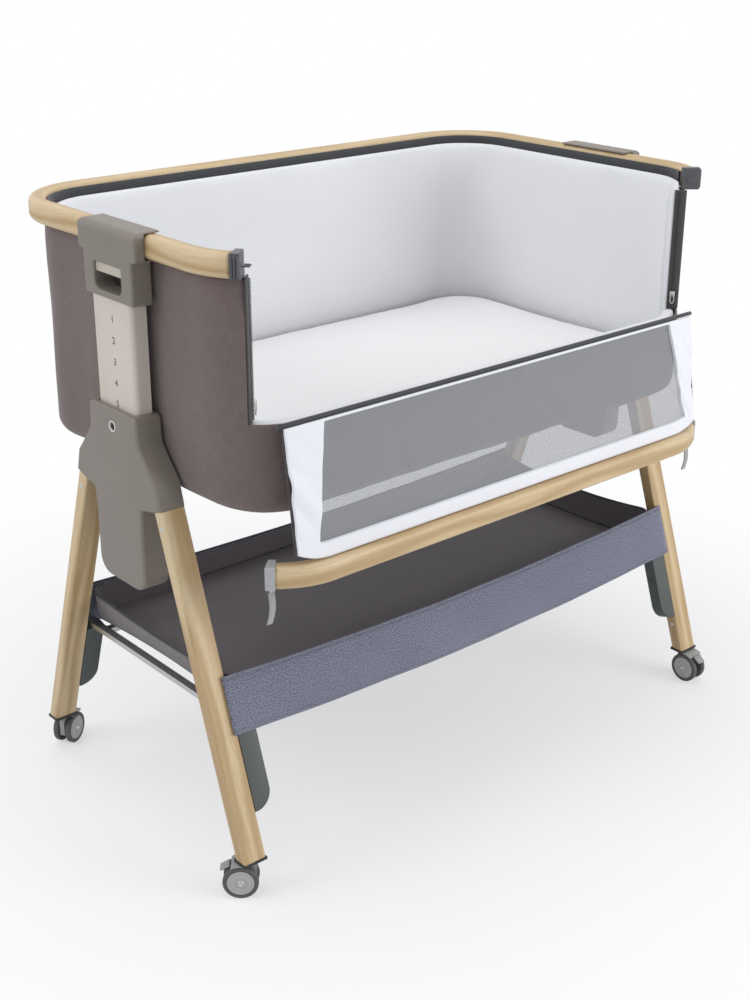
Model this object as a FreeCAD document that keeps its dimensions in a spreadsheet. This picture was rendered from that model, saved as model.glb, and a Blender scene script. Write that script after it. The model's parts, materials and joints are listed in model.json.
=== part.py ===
import FreeCAD, Part
import math
import os
import Sketcher

# Bedside sleeper crib: a U-shaped wooden rail carries a fabric cot, slides up and
# down in two legged casings, and has a front rail that drops to open the bed side.
# Row frame: X along the length, -Y towards the open side, Z up, floor at z = 0.

Vector = FreeCAD.Vector
LEFT, RIGHT = -1, 1
FRONT, BACK = -1, 1
SIDE_NAMES = {LEFT: "left", RIGHT: "right"}
END_NAMES = {FRONT: "front", BACK: "back"}

os.makedirs("parts", exist_ok=True)
doc = FreeCAD.newDocument("bedside_crib")
sheet = doc.addObject("Spreadsheet::Sheet", "Sizes")


class Size:
    """A number from the sheet, kept together with the expression that gives it."""

    def __init__(self, value, text=None):
        self.value = float(value)
        self.text = text if text is not None else repr(float(value))

    def join(self, other, sign, result):
        return Size(result, f"({self.text} {sign} {other.text})")

    def __add__(self, other):
        other = as_size(other)
        return self.join(other, "+", self.value + other.value)

    def __sub__(self, other):
        other = as_size(other)
        return self.join(other, "-", self.value - other.value)

    def __mul__(self, other):
        other = as_size(other)
        return self.join(other, "*", self.value * other.value)

    def __truediv__(self, other):
        other = as_size(other)
        return self.join(other, "/", self.value / other.value)

    def __radd__(self, other):
        return as_size(other) + self

    def __rsub__(self, other):
        return as_size(other) - self

    def __rmul__(self, other):
        return as_size(other) * self

    def __neg__(self):
        return as_size(0) - self

    def root(self):
        return Size(math.sqrt(self.value), f"sqrt({self.text})")

    def cos(self):
        return Size(math.cos(math.radians(self.value)), f"cos({self.text})")

    def sin(self):
        return Size(math.sin(math.radians(self.value)), f"sin({self.text})")


def as_size(number):
    return number if isinstance(number, Size) else Size(number)


def angle_of(rise, run):
    """The angle in degrees whose tangent is rise over run."""
    rise, run = as_size(rise), as_size(run)
    degrees = math.degrees(math.atan(rise.value / run.value))
    return Size(degrees, f"(atan({rise.text} / {run.text}) / 1deg)")


ROWS = [
    # top rail, one bent piece split near both front corners
    ("rail_half_length", 465, "half the outer length of the rail"),
    ("rail_back", 305, "outer back face of the rail, and half the overall depth"),
    ("rail_front", 275, "outer front face of the closed rail"),
    ("rail_top", 882, "top of the rail at the highest setting"),
    ("rail_width", 25, "width of the rail's section"),
    ("rail_height", 32, "height of the rail's section"),
    ("rail_corner", 120, "outer corner radius of the rail"),
    ("rail_round", 9, "rounding along the rail's edges"),
    ("split_angle", 42, "where the front corner is split, from the side"),
    ("end_cap_length", 12, "length of the plastic end pieces along the rail"),
    ("end_gap", 1, "gap between the closed rail ends"),
    ("end_proud", 1.2, "how far the end pieces stand proud of the wood"),
    ("tongue_length", 11, "latch tongue on the fixed rail end"),
    ("tongue_width", 13, "width of the latch tongue"),
    ("tongue_thick", 2.4, "thickness of the latch tongue"),
    ("tongue_room", 1.8, "free height above and below the tongue"),
    ("latch_radius", 2.2, "radius of the latch pin"),
    ("latch_reach", 6.6, "latch pin from the split, along the rail"),
    ("latch_play", 0.1, "clearance of the latch pin in its bore"),
    ("tongue_play", 0.4, "clearance of the latch pin in the tongue"),
    ("latch_travel", 6, "stroke of the latch pin"),
    ("strap_width", 10, "width of the webbing pull"),
    ("strap_thick", 1.4, "thickness of the webbing pull"),
    ("strap_length", 46, "length of the webbing pull"),
    # cot
    ("cloth_inset", 20, "outer cloth inside the rail's outer face"),
    ("cloth_wall", 3, "outer cloth thickness"),
    ("cot_depth", 347, "underside of the cot below the rail's top"),
    ("cot_round", 18, "rounding of the cot's lower edge"),
    ("liner_inset", 30, "outer face of the liner's collar inside the rail's outer face"),
    ("liner_wall", 12, "liner thickness"),
    ("liner_below_top", 18, "liner's top edge below the rail's top"),
    ("trim_wall", 3.6, "dark band between rail and liner"),
    ("trim_rise", 6, "top of the dark band below the rail's top"),
    ("trim_depth", 30, "height of the dark band"),
    ("board_thick", 6, "bed board thickness"),
    ("board_gap", 4, "bed board clear of the liner"),
    ("frame_tube", 10, "bed frame's square tubes"),
    ("frame_inset", 70, "bed frame inside the rail's outer face"),
    ("mattress_thick", 48, "mattress thickness"),
    ("mattress_gap", 5, "mattress clear of the liner"),
    ("mattress_bulge", 5, "how far the mattress's sides bulge"),
    ("seat_gap", 0.3, "gap where one soft piece lies on another"),
    # drop panel and its hinge line
    ("hinge_drop", 216, "hinge line of the drop panel below the rail's top"),
    ("panel_inset", 67, "ends of the drop panel inside the rail's ends"),
    ("panel_thick", 4, "thickness of the panel's cloth border"),
    ("panel_start", 3.5, "panel's upper edge from the hinge line"),
    ("panel_gap", 1.1, "panel's lower edge above the front rail"),
    ("window_left", 28, "border beside the window, zip side"),
    ("window_right", 50, "border beside the window, far side"),
    ("window_top", 5, "border above the window"),
    ("window_bottom", 15, "border below the window"),
    ("net_thick", 1.2, "thickness of the net"),
    ("net_columns", 12, "gaps along the net"),
    ("net_rows", 4, "gaps down the net"),
    ("net_strand", 9, "strand between the net's gaps"),
    ("piping_radius", 3.2, "cord along the hinge line"),
    ("piping_flap", 2, "thickness of the cord's sewn-on flap"),
    ("zip_width", 5, "thickness of the zip tape at the cot's front edges"),
    ("slider_length", 20, "length of a zip slider with its pull"),
    ("slider_rise", 6, "lower end of a zip slider above the hinge line"),
    ("slider_width", 9, "width of a zip slider"),
    ("slider_thick", 4, "thickness of a zip slider"),
    # casings, tubes and brackets in line with the legs
    ("legs_forward", 25, "legs and height tubes in front of the rail's middle"),
    ("tube_out", 14, "outer face of the height tubes beyond the rail"),
    ("tube_thick", 24, "thickness of the height tubes"),
    ("tube_half", 47, "half width of the height tubes"),
    ("tube_wall", 2.5, "wall of the height tubes"),
    ("tube_corner", 7, "rounding of the height tubes"),
    ("tube_in_casing", 67, "lower end of the tubes below the casing's top"),
    ("slide_gap", 0.5, "running gap around the height tubes"),
    ("casing_skin", 10, "outer face of a casing beyond its tube"),
    ("casing_back", 6, "inner face of a casing behind its tube"),
    ("casing_side", 10, "side of a casing beyond its tube"),
    ("casing_drop", 240, "top of the casings below the rail's top"),
    ("casing_height", 254, "height of the casings"),
    ("casing_corner", 26, "rounding of the casing's lower corners"),
    ("casing_edge", 3, "bevel along the casing's outer edges"),
    ("casing_top_round", 8, "rounding of the casing's top corners"),
    ("shoulder_drop", 38, "casing's shoulder below its top"),
    ("shoulder_round", 24, "rounding of the casing's shoulder"),
    ("step_pitch", 29, "spacing of the height settings"),
    ("step_count", 6, "number of height settings"),
    ("window_radius", 8, "number window in the casing"),
    ("window_drop", 24, "centre of the number window below the casing's top"),
    ("bolt_width", 9, "width of the lock bolt"),
    ("bolt_thick", 7, "height of the lock bolt"),
    ("bolt_drop", 42, "centre of the lock bolt below the casing's top"),
    ("bolt_length", 10.5, "lock bolt length"),
    ("bolt_play", 0.3, "clearance of the lock bolt"),
    ("bracket_skin", 2.5, "outer face of a bracket beyond its tube"),
    ("bracket_back", 4, "inner face of a bracket behind its tube"),
    ("bracket_cover", 3, "bracket's lips over and under the rail"),
    ("bracket_drop", 93, "lower edge of a bracket below the rail's top"),
    ("bracket_edge", 2, "bevel along a bracket's outer edges"),
    ("bracket_round", 5, "rounding of a bracket's corners"),
    ("grip_side", 15, "side of a bracket beyond its tube"),
    ("bracket_ear", 12, "how much wider a bracket is at the rail"),
    ("tube_seat", 7, "depth of the tube's seat in the bracket"),
    ("slot_side", 12, "end of the finger slot inside the tube's side"),
    ("slot_rise", 10, "finger slot above the bracket's lower edge"),
    ("slot_height", 36, "height of the finger slot"),
    ("slot_round", 11, "rounding of the finger slot's corners"),
    ("lever_height", 13, "height of the squeeze lever"),
    ("lever_travel", 6, "stroke of the squeeze lever"),
    ("lever_gap", 0.6, "clearance of the squeeze lever"),
    ("strip_half", 2, "half width of the pull strips below the squeeze lever"),
    ("strip_head", 5, "height of the bars that carry the pull strips"),
    # legs
    ("leg_width", 36, "leg section along the length"),
    ("leg_depth", 21, "leg section across"),
    ("leg_round", 3, "rounding along a leg's edges"),
    ("leg_blank", 20, "length cut off below a leg's level foot"),
    ("hub_side", 28, "leg axis at the hub beyond the casing's side"),
    ("hub_drop", 90, "hub rivets below the casing's top"),
    ("foot_half", 252, "leg axis from the mid line at the foot"),
    ("arm_end", 31, "end of the casing's arm below the hub rivet"),
    ("tenon_width", 24, "leg tenon along the length"),
    ("tenon_depth", 13, "leg tenon across"),
    ("tenon_length", 46, "leg tenon in the casing's arm"),
    ("tenon_play", 0.2, "clearance around a tenon"),
    ("rivet_radius", 4, "rivet heads on the casing's arms"),
    ("rivet_thick", 1.4, "height of the rivet heads"),
    ("foot_plate", 4, "thickness of the leg's end plate"),
    # shelf
    ("shelf_top", 302, "top edge of the shelf basket"),
    ("shelf_depth", 61.7, "underside of the basket's floor below its top edge"),
    ("skirt_drop", 14.3, "lower edge of the basket's front and back below its floor"),
    ("shelf_wall", 3, "basket cloth thickness"),
    ("shelf_inset", 21, "end of the basket's rim inside the middle of the legs"),
    ("shelf_taper", 12, "how much shorter the basket's floor is at each end"),
    ("shelf_flap", 10, "ends of the long walls that lap in front of the legs"),
    ("shelf_gap", 2, "basket's long walls in front of the legs"),
    ("bar_height", 8, "height of the shelf frame's flat tubes"),
    ("bar_width", 12, "width of the shelf frame's flat tubes"),
    ("bar_inset", 8, "end tubes inside the end of the basket's rim"),
    ("bar_forward", 45, "long tubes inside the leg axes"),
    ("peg_width", 9, "width of the shelf frame's pegs"),
    ("peg_thick", 4, "thickness of the shelf frame's pegs"),
    ("peg_length", 27, "length of the pegs"),
    ("peg_forward", 5, "pegs outside the leg axes"),
    ("peg_play", 0.4, "clearance around a peg"),
    ("socket_gap", 2, "frame above the sockets"),
    ("socket_length", 122, "length of the shelf sockets"),
    ("socket_width", 30, "shelf sockets inwards from the leg"),
    ("socket_round", 27, "rounding at the bottom of the sockets"),
    ("nub_size", 6, "width of the locating nub on the shelf sockets"),
    ("nub_rise", 2.5, "how far the locating nub stands out"),
    ("nub_drop", 55, "locating nub below the top of the socket"),
    # casters
    ("wheel_radius", 25, "caster wheel radius"),
    ("wheel_thick", 9, "thickness of each caster wheel"),
    ("wheel_spread", 12, "gap between the two wheels of a caster"),
    ("wheel_trail", 14, "wheel axle behind the swivel"),
    ("drum_sides", 36, "flats round a wheel and its hood"),
    ("swivel_radius", 7, "radius of the swivel disc"),
    ("swivel_height", 3, "height of the swivel disc"),
    ("axle_radius", 3, "caster axle radius"),
    ("axle_play", 0.1, "clearance around the caster axle"),
    ("fork_thick", 8, "centre plate of the caster fork"),
    ("hood_gap", 1.2, "caster hood clear of the wheels"),
    ("hood_thick", 1.5, "caster hood thickness"),
    ("pedal_length", 15, "brake pedal length"),
    ("pedal_width", 15, "brake pedal width"),
    ("pedal_thick", 3, "brake pedal thickness"),
    ("pedal_slope", 30, "slope of the brake pedal"),
    ("pedal_start", 15.5, "brake pedal's hinge behind the axle"),
    ("pedal_room", 2.4, "hood's end before the brake pedal's hinge"),
    ("pedal_rise", 0.5, "brake pedal's hinge above the wheel"),
]

# Places that follow from the sizes above, worked out in the same sheet
PLACES = [
    ("hinge_height", "rail_top - hinge_drop", "hinge line of the drop panel"),
    ("panel_half_length", "rail_half_length - panel_inset", "half the length of the drop panel"),
    ("cot_bottom", "rail_top - cot_depth", "underside of the cot"),
    ("mid_y", "(rail_back - rail_front) / 2 - legs_forward", "line of the legs and height tubes"),
    ("tube_outer", "rail_half_length + tube_out", "outer face of the height tubes"),
    ("casing_outer", "tube_outer + casing_skin", "outer face of the leg casings"),
    ("casing_inner", "tube_outer - tube_thick - casing_back", "inner face of the leg casings"),
    ("casing_half", "tube_half + casing_side", "half width of the leg casings"),
    ("casing_top", "rail_top - casing_drop", "top of the leg casings"),
    ("casing_bottom", "casing_top - casing_height", "bottom of the leg casings"),
    ("tube_bottom", "casing_top - tube_in_casing", "lower end of the height tubes"),
    ("window_height", "casing_top - window_drop", "centre of the number window"),
    ("bolt_height", "casing_top - bolt_drop", "centre of the lock bolt"),
    ("bracket_outer", "tube_outer + bracket_skin", "outer face of the rail brackets"),
    ("bracket_inner", "tube_outer - tube_thick - bracket_back", "inner face of a bracket below the rail"),
    ("bracket_bottom", "rail_top - bracket_drop", "lower edge of a bracket"),
    ("grip_half", "tube_half + grip_side", "half width of a bracket below the rail"),
    ("bracket_half", "grip_half + bracket_ear", "half width of a bracket at the rail"),
    ("slot_half", "tube_half - slot_side", "half width of the finger slot"),
    ("slot_bottom", "bracket_bottom + slot_rise", "lower edge of the finger slot"),
    ("leg_x", "tube_outer - tube_thick / 2", "middle of the legs"),
    ("hub_half", "casing_half + hub_side", "leg axis from the mid line at the hub"),
    ("hub_height", "casing_top - hub_drop", "height of the hub rivets"),
    ("hood_radius", "wheel_radius + hood_gap + hood_thick", "outside of the caster hood"),
    ("fork_top", "wheel_radius + hood_radius - swivel_height", "top of the caster fork"),
    ("caster_top", "fork_top + swivel_height", "top of the swivel disc"),
    ("foot_height", "caster_top + seat_gap + foot_plate", "height of the cut foot"),
    ("leg_fall", "(foot_half - hub_half) / (hub_height - foot_height)", "slope of the legs"),
    ("shelf_floor", "shelf_top - shelf_depth", "underside of the basket's floor"),
    ("shelf_skirt", "shelf_floor - skirt_drop", "lower edge of the basket's front and back"),
    ("shelf_half", "leg_x - shelf_inset", "half length of the basket's rim"),
    ("shelf_floor_half", "shelf_half - shelf_taper", "half length of the basket's floor"),
    ("bar_top", "shelf_floor - seat_gap", "top of the shelf frame"),
    ("bar_bottom", "bar_top - bar_height", "underside of the shelf frame"),
    ("bar_x", "shelf_half - bar_inset", "end tubes of the shelf frame"),
    ("leg_at_bar", "foot_half - (bar_bottom - foot_height) * leg_fall", "leg axis at the shelf frame"),
    ("peg_half", "leg_at_bar + peg_forward", "pegs of the shelf frame from the mid line"),
    ("peg_bottom", "bar_bottom - peg_length", "lower end of the pegs"),
    ("socket_top", "bar_bottom - socket_gap", "top of the shelf sockets"),
]

size = {}
for row, (alias, number, note) in enumerate(ROWS, start=1):
    sheet.set(f"A{row}", alias)
    sheet.set(f"B{row}", str(number))
    sheet.set(f"C{row}", note)
    sheet.setAlias(f"B{row}", alias)
    size[alias] = Size(number, f"Sizes.{alias}")
for row, (alias, formula, note) in enumerate(PLACES, start=len(ROWS) + 1):
    sheet.set(f"A{row}", alias)
    sheet.set(f"B{row}", "=" + formula)
    sheet.set(f"C{row}", note)
    sheet.setAlias(f"B{row}", alias)
doc.recompute()
for alias, formula, note in PLACES:
    size[alias] = Size(sheet.get(alias), f"Sizes.{alias}")


class Sizes:
    """Gives each sheet value by name, as S.rail_top."""

    def __getattr__(self, alias):
        return size[alias]


S = Sizes()
nodes = []


def bind(obj, **properties):
    for name, number in properties.items():
        number = as_size(number)
        setattr(obj, name, number.value)
        obj.setExpression(name, number.text)
    return obj


def place(obj, x=0, y=0, z=0, axis=None, angle=0):
    """Puts an object at a point, turned about an axis, all from the sheet."""
    x, y, z, angle = as_size(x), as_size(y), as_size(z), as_size(angle)
    turn = FreeCAD.Rotation(Vector(*(axis or (0, 0, 1))), angle.value)
    obj.Placement = FreeCAD.Placement(Vector(x.value, y.value, z.value), turn)
    obj.setExpression("Placement.Base.x", x.text)
    obj.setExpression("Placement.Base.y", y.text)
    obj.setExpression("Placement.Base.z", z.text)
    if axis:
        obj.setExpression("Placement.Rotation.Angle", angle.text)
    return obj


def box(name, x, y, z):
    """A block from its low and high x, y and z."""
    obj = doc.addObject("Part::Box", name)
    bind(obj, Length=as_size(x[1]) - x[0], Width=as_size(y[1]) - y[0], Height=as_size(z[1]) - z[0])
    return place(obj, x[0], y[0], z[0])


def side_span(side, inner, outer):
    """Low and high x of a piece between two distances from the middle."""
    return (inner, outer) if side == RIGHT else (-outer, -inner)


TURN = {"x": ((0, 1, 0), 90), "y": ((1, 0, 0), -90), "z": (None, 0)}


def rod(name, radius, length, x, y, z, along="z"):
    """A cylinder that starts at a point and runs along +x, +y or +z."""
    obj = doc.addObject("Part::Cylinder", name)
    bind(obj, Radius=radius, Height=length)
    axis, angle = TURN[along]
    place(obj, x, y, z)
    if axis:
        obj.Placement = FreeCAD.Placement(obj.Placement.Base, FreeCAD.Rotation(Vector(*axis), angle))
    return obj


def drum(name, radius, length, x, y, z):
    """A wheel-like prism along +x with many flats."""
    obj = doc.addObject("Part::Prism", name)
    bind(obj, Circumradius=radius, Height=length)
    obj.Polygon = int(S.drum_sides.value)
    obj.setExpression("Polygon", S.drum_sides.text)
    place(obj, x, y, z)
    obj.Placement = FreeCAD.Placement(obj.Placement.Base, FreeCAD.Rotation(Vector(0, 1, 0), 90))
    return obj


def joined(name, *pieces):
    obj = doc.addObject("Part::MultiFuse", name)
    obj.Shapes = list(pieces)
    obj.Refine = True
    return obj


def less(name, base, *tools):
    obj = doc.addObject("Part::Cut", name)
    obj.Base = base
    obj.Tool = tools[0] if len(tools) == 1 else joined(name + "_tools", *tools)
    obj.Refine = True
    return obj


def shared(name, *pieces):
    obj = doc.addObject("Part::MultiCommon", name)
    obj.Shapes = list(pieces)
    obj.Refine = True
    return obj


def group(name, *pieces):
    """Identical pieces that share one node as separate solids."""
    obj = doc.addObject("Part::Compound", name)
    obj.Links = list(pieces)
    return obj


def node(label, obj):
    obj.Label = label
    nodes.append(obj)
    return obj


def new_body(name):
    return doc.addObject("PartDesign::Body", name)


def plane_of(body, role):
    for feature in body.Origin.OriginFeatures:
        if feature.Role == role:
            return feature
    raise ValueError(role)


def outline(body, name, role, points, offset=0):
    """A closed outline of straight lines, each corner bound to the sheet."""
    sketch = body.newObject("Sketcher::SketchObject", name)
    sketch.AttachmentSupport = [(plane_of(body, role), "")]
    sketch.MapMode = "FlatFace"
    offset = as_size(offset)
    sketch.AttachmentOffset = FreeCAD.Placement(Vector(0, 0, offset.value), FreeCAD.Rotation())
    sketch.setExpression("AttachmentOffset.Base.z", offset.text)
    corners = [(as_size(u), as_size(v)) for u, v in points]
    count = len(corners)
    for index in range(count):
        u0, v0 = corners[index]
        u1, v1 = corners[(index + 1) % count]
        start, end = Vector(u0.value, v0.value, 0), Vector(u1.value, v1.value, 0)
        sketch.addGeometry(Part.LineSegment(start, end), False)
    for index in range(count):
        joint = Sketcher.Constraint("Coincident", index, 2, (index + 1) % count, 1)
        sketch.addConstraint(joint)
    for index, corner in enumerate(corners):
        for kind, number in zip(("DistanceX", "DistanceY"), corner):
            place_at = Sketcher.Constraint(kind, -1, 1, index, 1, number.value)
            constraint = sketch.addConstraint(place_at)
            sketch.setExpression(f"Constraints[{constraint}]", number.text)
    return sketch


def pad(body, name, sketch, length):
    feature = body.newObject("PartDesign::Pad", name)
    feature.Profile = sketch
    bind(feature, Length=length)
    body.Tip = feature
    return feature


def pocket(body, name, sketch, length, reverse=True):
    feature = body.newObject("PartDesign::Pocket", name)
    feature.Profile = sketch
    feature.Reversed = reverse
    bind(feature, Length=length)
    body.Tip = feature
    return feature


def edges_of(shape, test):
    return [f"Edge{number}" for number, edge in enumerate(shape.Edges, start=1) if test(edge)]


def rounded(body, name, radius, test):
    """Rounds the edges of the body's last feature that pass a test."""
    doc.recompute()
    base = body.Tip
    feature = body.newObject("PartDesign::Fillet", name)
    feature.Base = (base, edges_of(base.Shape, test))
    bind(feature, Radius=radius)
    body.Tip = feature
    return feature


def bevelled(body, name, length, test):
    """Bevels the edges of the body's last feature that pass a test."""
    doc.recompute()
    base = body.Tip
    feature = body.newObject("PartDesign::Chamfer", name)
    feature.Base = (base, edges_of(base.Shape, test))
    bind(feature, Size=length)
    body.Tip = feature
    return feature


# A rounding worked as three flats that all touch its circle
FIRST_FLAT = 2 - math.sqrt(2)
NEXT_FLAT = math.tan(math.radians(22.5)) - math.tan(math.radians(11.25))


def eased(body, name, radius, levels):
    """Eases the level edges at some heights to a radius, in three flats each."""
    def level_edge(edge):
        span = edge.BoundBox
        return span.ZLength < 0.01 and any(abs(span.ZMin - level) < 0.01 for level in levels)

    bevelled(body, name + "_wide", radius * FIRST_FLAT, level_edge)
    doc.recompute()
    slopes = [face for face in body.Tip.Shape.Faces if is_slope(face)]
    around = [edge for face in slopes for edge in face.Edges if edge.BoundBox.ZLength < 0.01]

    def slope_edge(edge):
        return any(edge.isSame(other) for other in around)

    bevelled(body, name + "_fine", radius * NEXT_FLAT, slope_edge)


def is_slope(face):
    """True for a face that is neither level nor upright."""
    u0, u1, v0, v1 = face.ParameterRange
    return 0.1 < abs(face.normalAt((u0 + u1) / 2, (v0 + v1) / 2).z) < 0.9


def runs_along(edge, axis):
    """True for a straight edge parallel to an axis vector."""
    if len(edge.Vertexes) < 2 or edge.Curve.TypeId != "Part::GeomLine":
        return False
    run = edge.Vertexes[1].Point - edge.Vertexes[0].Point
    return abs(run.normalize().dot(axis)) > 0.999


ALONG_X, ALONG_Y, ALONG_Z = Vector(1, 0, 0), Vector(0, 1, 0), Vector(0, 0, 1)


# Rounded oblongs that follow the rail, each inset from its outer face

def rounded_outline(body, name, inset, offset, corner=None):
    """The rail's plan, inset on all sides: four lines joined by quarter arcs."""
    sketch = body.newObject("Sketcher::SketchObject", name)
    sketch.AttachmentSupport = [(plane_of(body, "XY_Plane"), "")]
    sketch.MapMode = "FlatFace"
    offset, inset = as_size(offset), as_size(inset)
    sketch.AttachmentOffset = FreeCAD.Placement(Vector(0, 0, offset.value), FreeCAD.Rotation())
    sketch.setExpression("AttachmentOffset.Base.z", offset.text)
    radius = S.rail_corner - inset if corner is None else as_size(corner)
    across = S.rail_half_length - inset - radius
    back, front = S.rail_back - inset - radius, inset + radius - S.rail_front
    centres = [(across, front, -90), (across, back, 0), (-across, back, 90), (-across, front, 180)]
    size_of_arc = radius.value
    for u, v, start in centres:
        middle = Vector(u.value, v.value, 0)
        circle = Part.Circle(middle, Vector(0, 0, 1), size_of_arc)
        first, last = math.radians(start), math.radians(start + 90)
        sketch.addGeometry(Part.ArcOfCircle(circle, first, last), False)
    for index in range(4):
        ends = []
        for (u, v, start), turn in ((centres[index], 90), (centres[(index + 1) % 4], 0)):
            angle = math.radians(start + turn)
            step = Vector(math.cos(angle), math.sin(angle), 0) * size_of_arc
            ends.append(Vector(u.value, v.value, 0) + step)
        sketch.addGeometry(Part.LineSegment(*ends), False)
    for index, (u, v, start) in enumerate(centres):
        sketch.addConstraint(Sketcher.Constraint("Tangent", index, 2, index + 4, 1))
        sketch.addConstraint(Sketcher.Constraint("Tangent", index + 4, 2, (index + 1) % 4, 1))
        for kind, number in (("DistanceX", u), ("DistanceY", v)):
            constraint = sketch.addConstraint(Sketcher.Constraint(kind, -1, 1, index, 3, number.value))
            sketch.setExpression(f"Constraints[{constraint}]", number.text)
        constraint = sketch.addConstraint(Sketcher.Constraint("Radius", index, size_of_arc))
        sketch.setExpression(f"Constraints[{constraint}]", radius.text)
    return sketch


def oblong(name, inset, low, high, corner=None):
    """A block with the rail's plan, inset on all four sides."""
    body = new_body(name)
    pad(body, name + "_pad", rounded_outline(body, name + "_plan", inset, low, corner), as_size(high) - low)
    return body


def split_corner():
    """Centre of a front corner's arc, for the right side."""
    return S.rail_half_length - S.rail_corner, S.rail_corner - S.rail_front


def front_wedge(name, low, high, turn=0):
    """The block in front of the two split lines, from low to high."""
    body = new_body(name)
    centre_x, centre_y = split_corner()
    reach = S.rail_corner * 3
    angle = S.split_angle + turn
    far_x = centre_x + reach * angle.cos()
    far_y = centre_y - reach * angle.sin()
    deep = centre_y - reach * 2
    corners = [(-centre_x, centre_y), (-far_x, far_y), (-far_x, deep),
               (far_x, deep), (far_x, far_y), (centre_x, centre_y)]
    pad(body, name + "_pad", outline(body, name + "_plan", "XY_Plane", corners, low), as_size(high) - low)
    return body


def rail_ring(name):
    """The whole rail as a closed ring with softly rounded edges."""
    body = new_body(name)
    low = S.rail_top - S.rail_height
    pad(body, name + "_pad", rounded_outline(body, name + "_outer", 0, low), S.rail_height)
    inside = rounded_outline(body, name + "_inner", S.rail_width, low)
    pocket(body, name + "_hollow", inside, S.rail_height)
    eased(body, name + "_edges", S.rail_round, (low.value, S.rail_top.value))
    return body


def corner_turn(length):
    """Angle that a length takes up on the rail's middle line."""
    radius = S.rail_corner - S.rail_width / 2
    return length / radius * (180 / math.pi)


def rail_swelling(name, proud):
    """A ring slightly larger than the rail's section, for its end pieces."""
    low, high = S.rail_top - S.rail_height, S.rail_top + proud
    outer = oblong(name + "_outer", -proud, low, high)
    inner = oblong(name + "_inner", S.rail_width + proud, low - 1, high + 1)
    return less(name, outer, inner)


def end_point(radius, angle, side):
    """A point on the front corner, at a radius and an angle from the side."""
    centre_x, centre_y = split_corner()
    return side * (centre_x + radius * angle.cos()), centre_y - radius * angle.sin()


def latch_point(side):
    """Where the latch pin passes through the closed rail's end."""
    return end_point(S.rail_corner - S.rail_width / 2, S.split_angle + corner_turn(S.latch_reach), side)


def make_rail():
    low, high = S.rail_top - S.rail_height - 5, S.rail_top + 5
    cap_turn = corner_turn(S.end_cap_length)
    open_front = front_wedge("rail_opening", low, high, -cap_turn)
    node("top_rail", less("top_rail_cut", rail_ring("rail_blank"), open_front))


def along_split(name, side, across, along, height):
    """A block at a rail end: across inwards from the middle line, then forwards."""
    obj = doc.addObject("Part::Box", name)
    low, high = (across[0], across[1]) if side == RIGHT else (-across[1], -across[0])
    low, high = as_size(low), as_size(high)
    start, thick = as_size(along[0]), as_size(height[1]) - height[0]
    bind(obj, Length=high - low, Width=along[1] - start, Height=thick)
    angle = 180 - side * S.split_angle
    x, y = end_point(S.rail_corner - S.rail_width / 2, S.split_angle, side)
    base_x = x + angle.cos() * low - angle.sin() * start
    base_y = y + angle.sin() * low + angle.cos() * start
    return place(obj, base_x, base_y, height[0], (0, 0, 1), angle)


def make_rail_ends():
    """Plastic end pieces of the fixed rail, each with its latch tongue."""
    low, high = S.rail_top - S.rail_height - 5, S.rail_top + 5
    cap_turn = corner_turn(S.end_cap_length)
    for side in (LEFT, RIGHT):
        name = SIDE_NAMES[side]
        blank = rail_swelling(f"{name}_end_blank", S.end_proud)
        behind = front_wedge(f"{name}_end_front", low, high)
        keep = front_wedge(f"{name}_end_keep", low, high, -cap_turn)
        span = side_span(side, 0, S.rail_half_length * 2)
        half_space = box(f"{name}_end_half", span, (-S.rail_front * 2, 0), (low, high))
        cut = less(f"{name}_end_cut", shared(f"{name}_end_part", blank, keep, half_space), behind)
        middle, reach = S.rail_top - S.rail_height / 2, S.tongue_width / 2
        half_thick = S.tongue_thick / 2
        along = (-S.end_cap_length / 3, S.tongue_length)
        level = (middle - half_thick, middle + half_thick)
        tongue = along_split(f"{name}_tongue", side, (-reach, reach), along, level)
        body = joined(f"{name}_end_body", cut, tongue)
        x, y = latch_point(side)
        hole = rod(f"{name}_tongue_hole", S.latch_radius + S.tongue_play, high - low, x, y, low)
        node(f"{name}_rail_end", less(f"{name}_end_done", body, hole))


# Drop panel: everything is drawn closed or hanging and placed from the hinge line

def hinge_y():
    return S.rail_width / 2 - S.rail_front


def swing_radius():
    return S.rail_top - S.rail_height / 2 - S.hinge_height


def drop_forward():
    """How far the open front rail stands out from the hinge line."""
    return S.rail_back - S.rail_width / 2 + hinge_y()


def drop_below():
    """How far the open front rail hangs below the hinge line."""
    return (swing_radius() * swing_radius() - drop_forward() * drop_forward()).root()


def rail_shift():
    """Move of the front rail from closed to hanging."""
    return -drop_forward(), -(swing_radius() + drop_below())


def make_front_rail():
    low, high = S.rail_top - S.rail_height - 5, S.rail_top + 5
    cap_turn = corner_turn(S.end_cap_length + S.end_gap)
    keep = front_wedge("front_rail_keep", low, high, cap_turn)
    wood = shared("front_rail_closed", rail_ring("front_rail_blank"), keep)
    node("front_rail", place(wood, 0, *rail_shift()))


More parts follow.
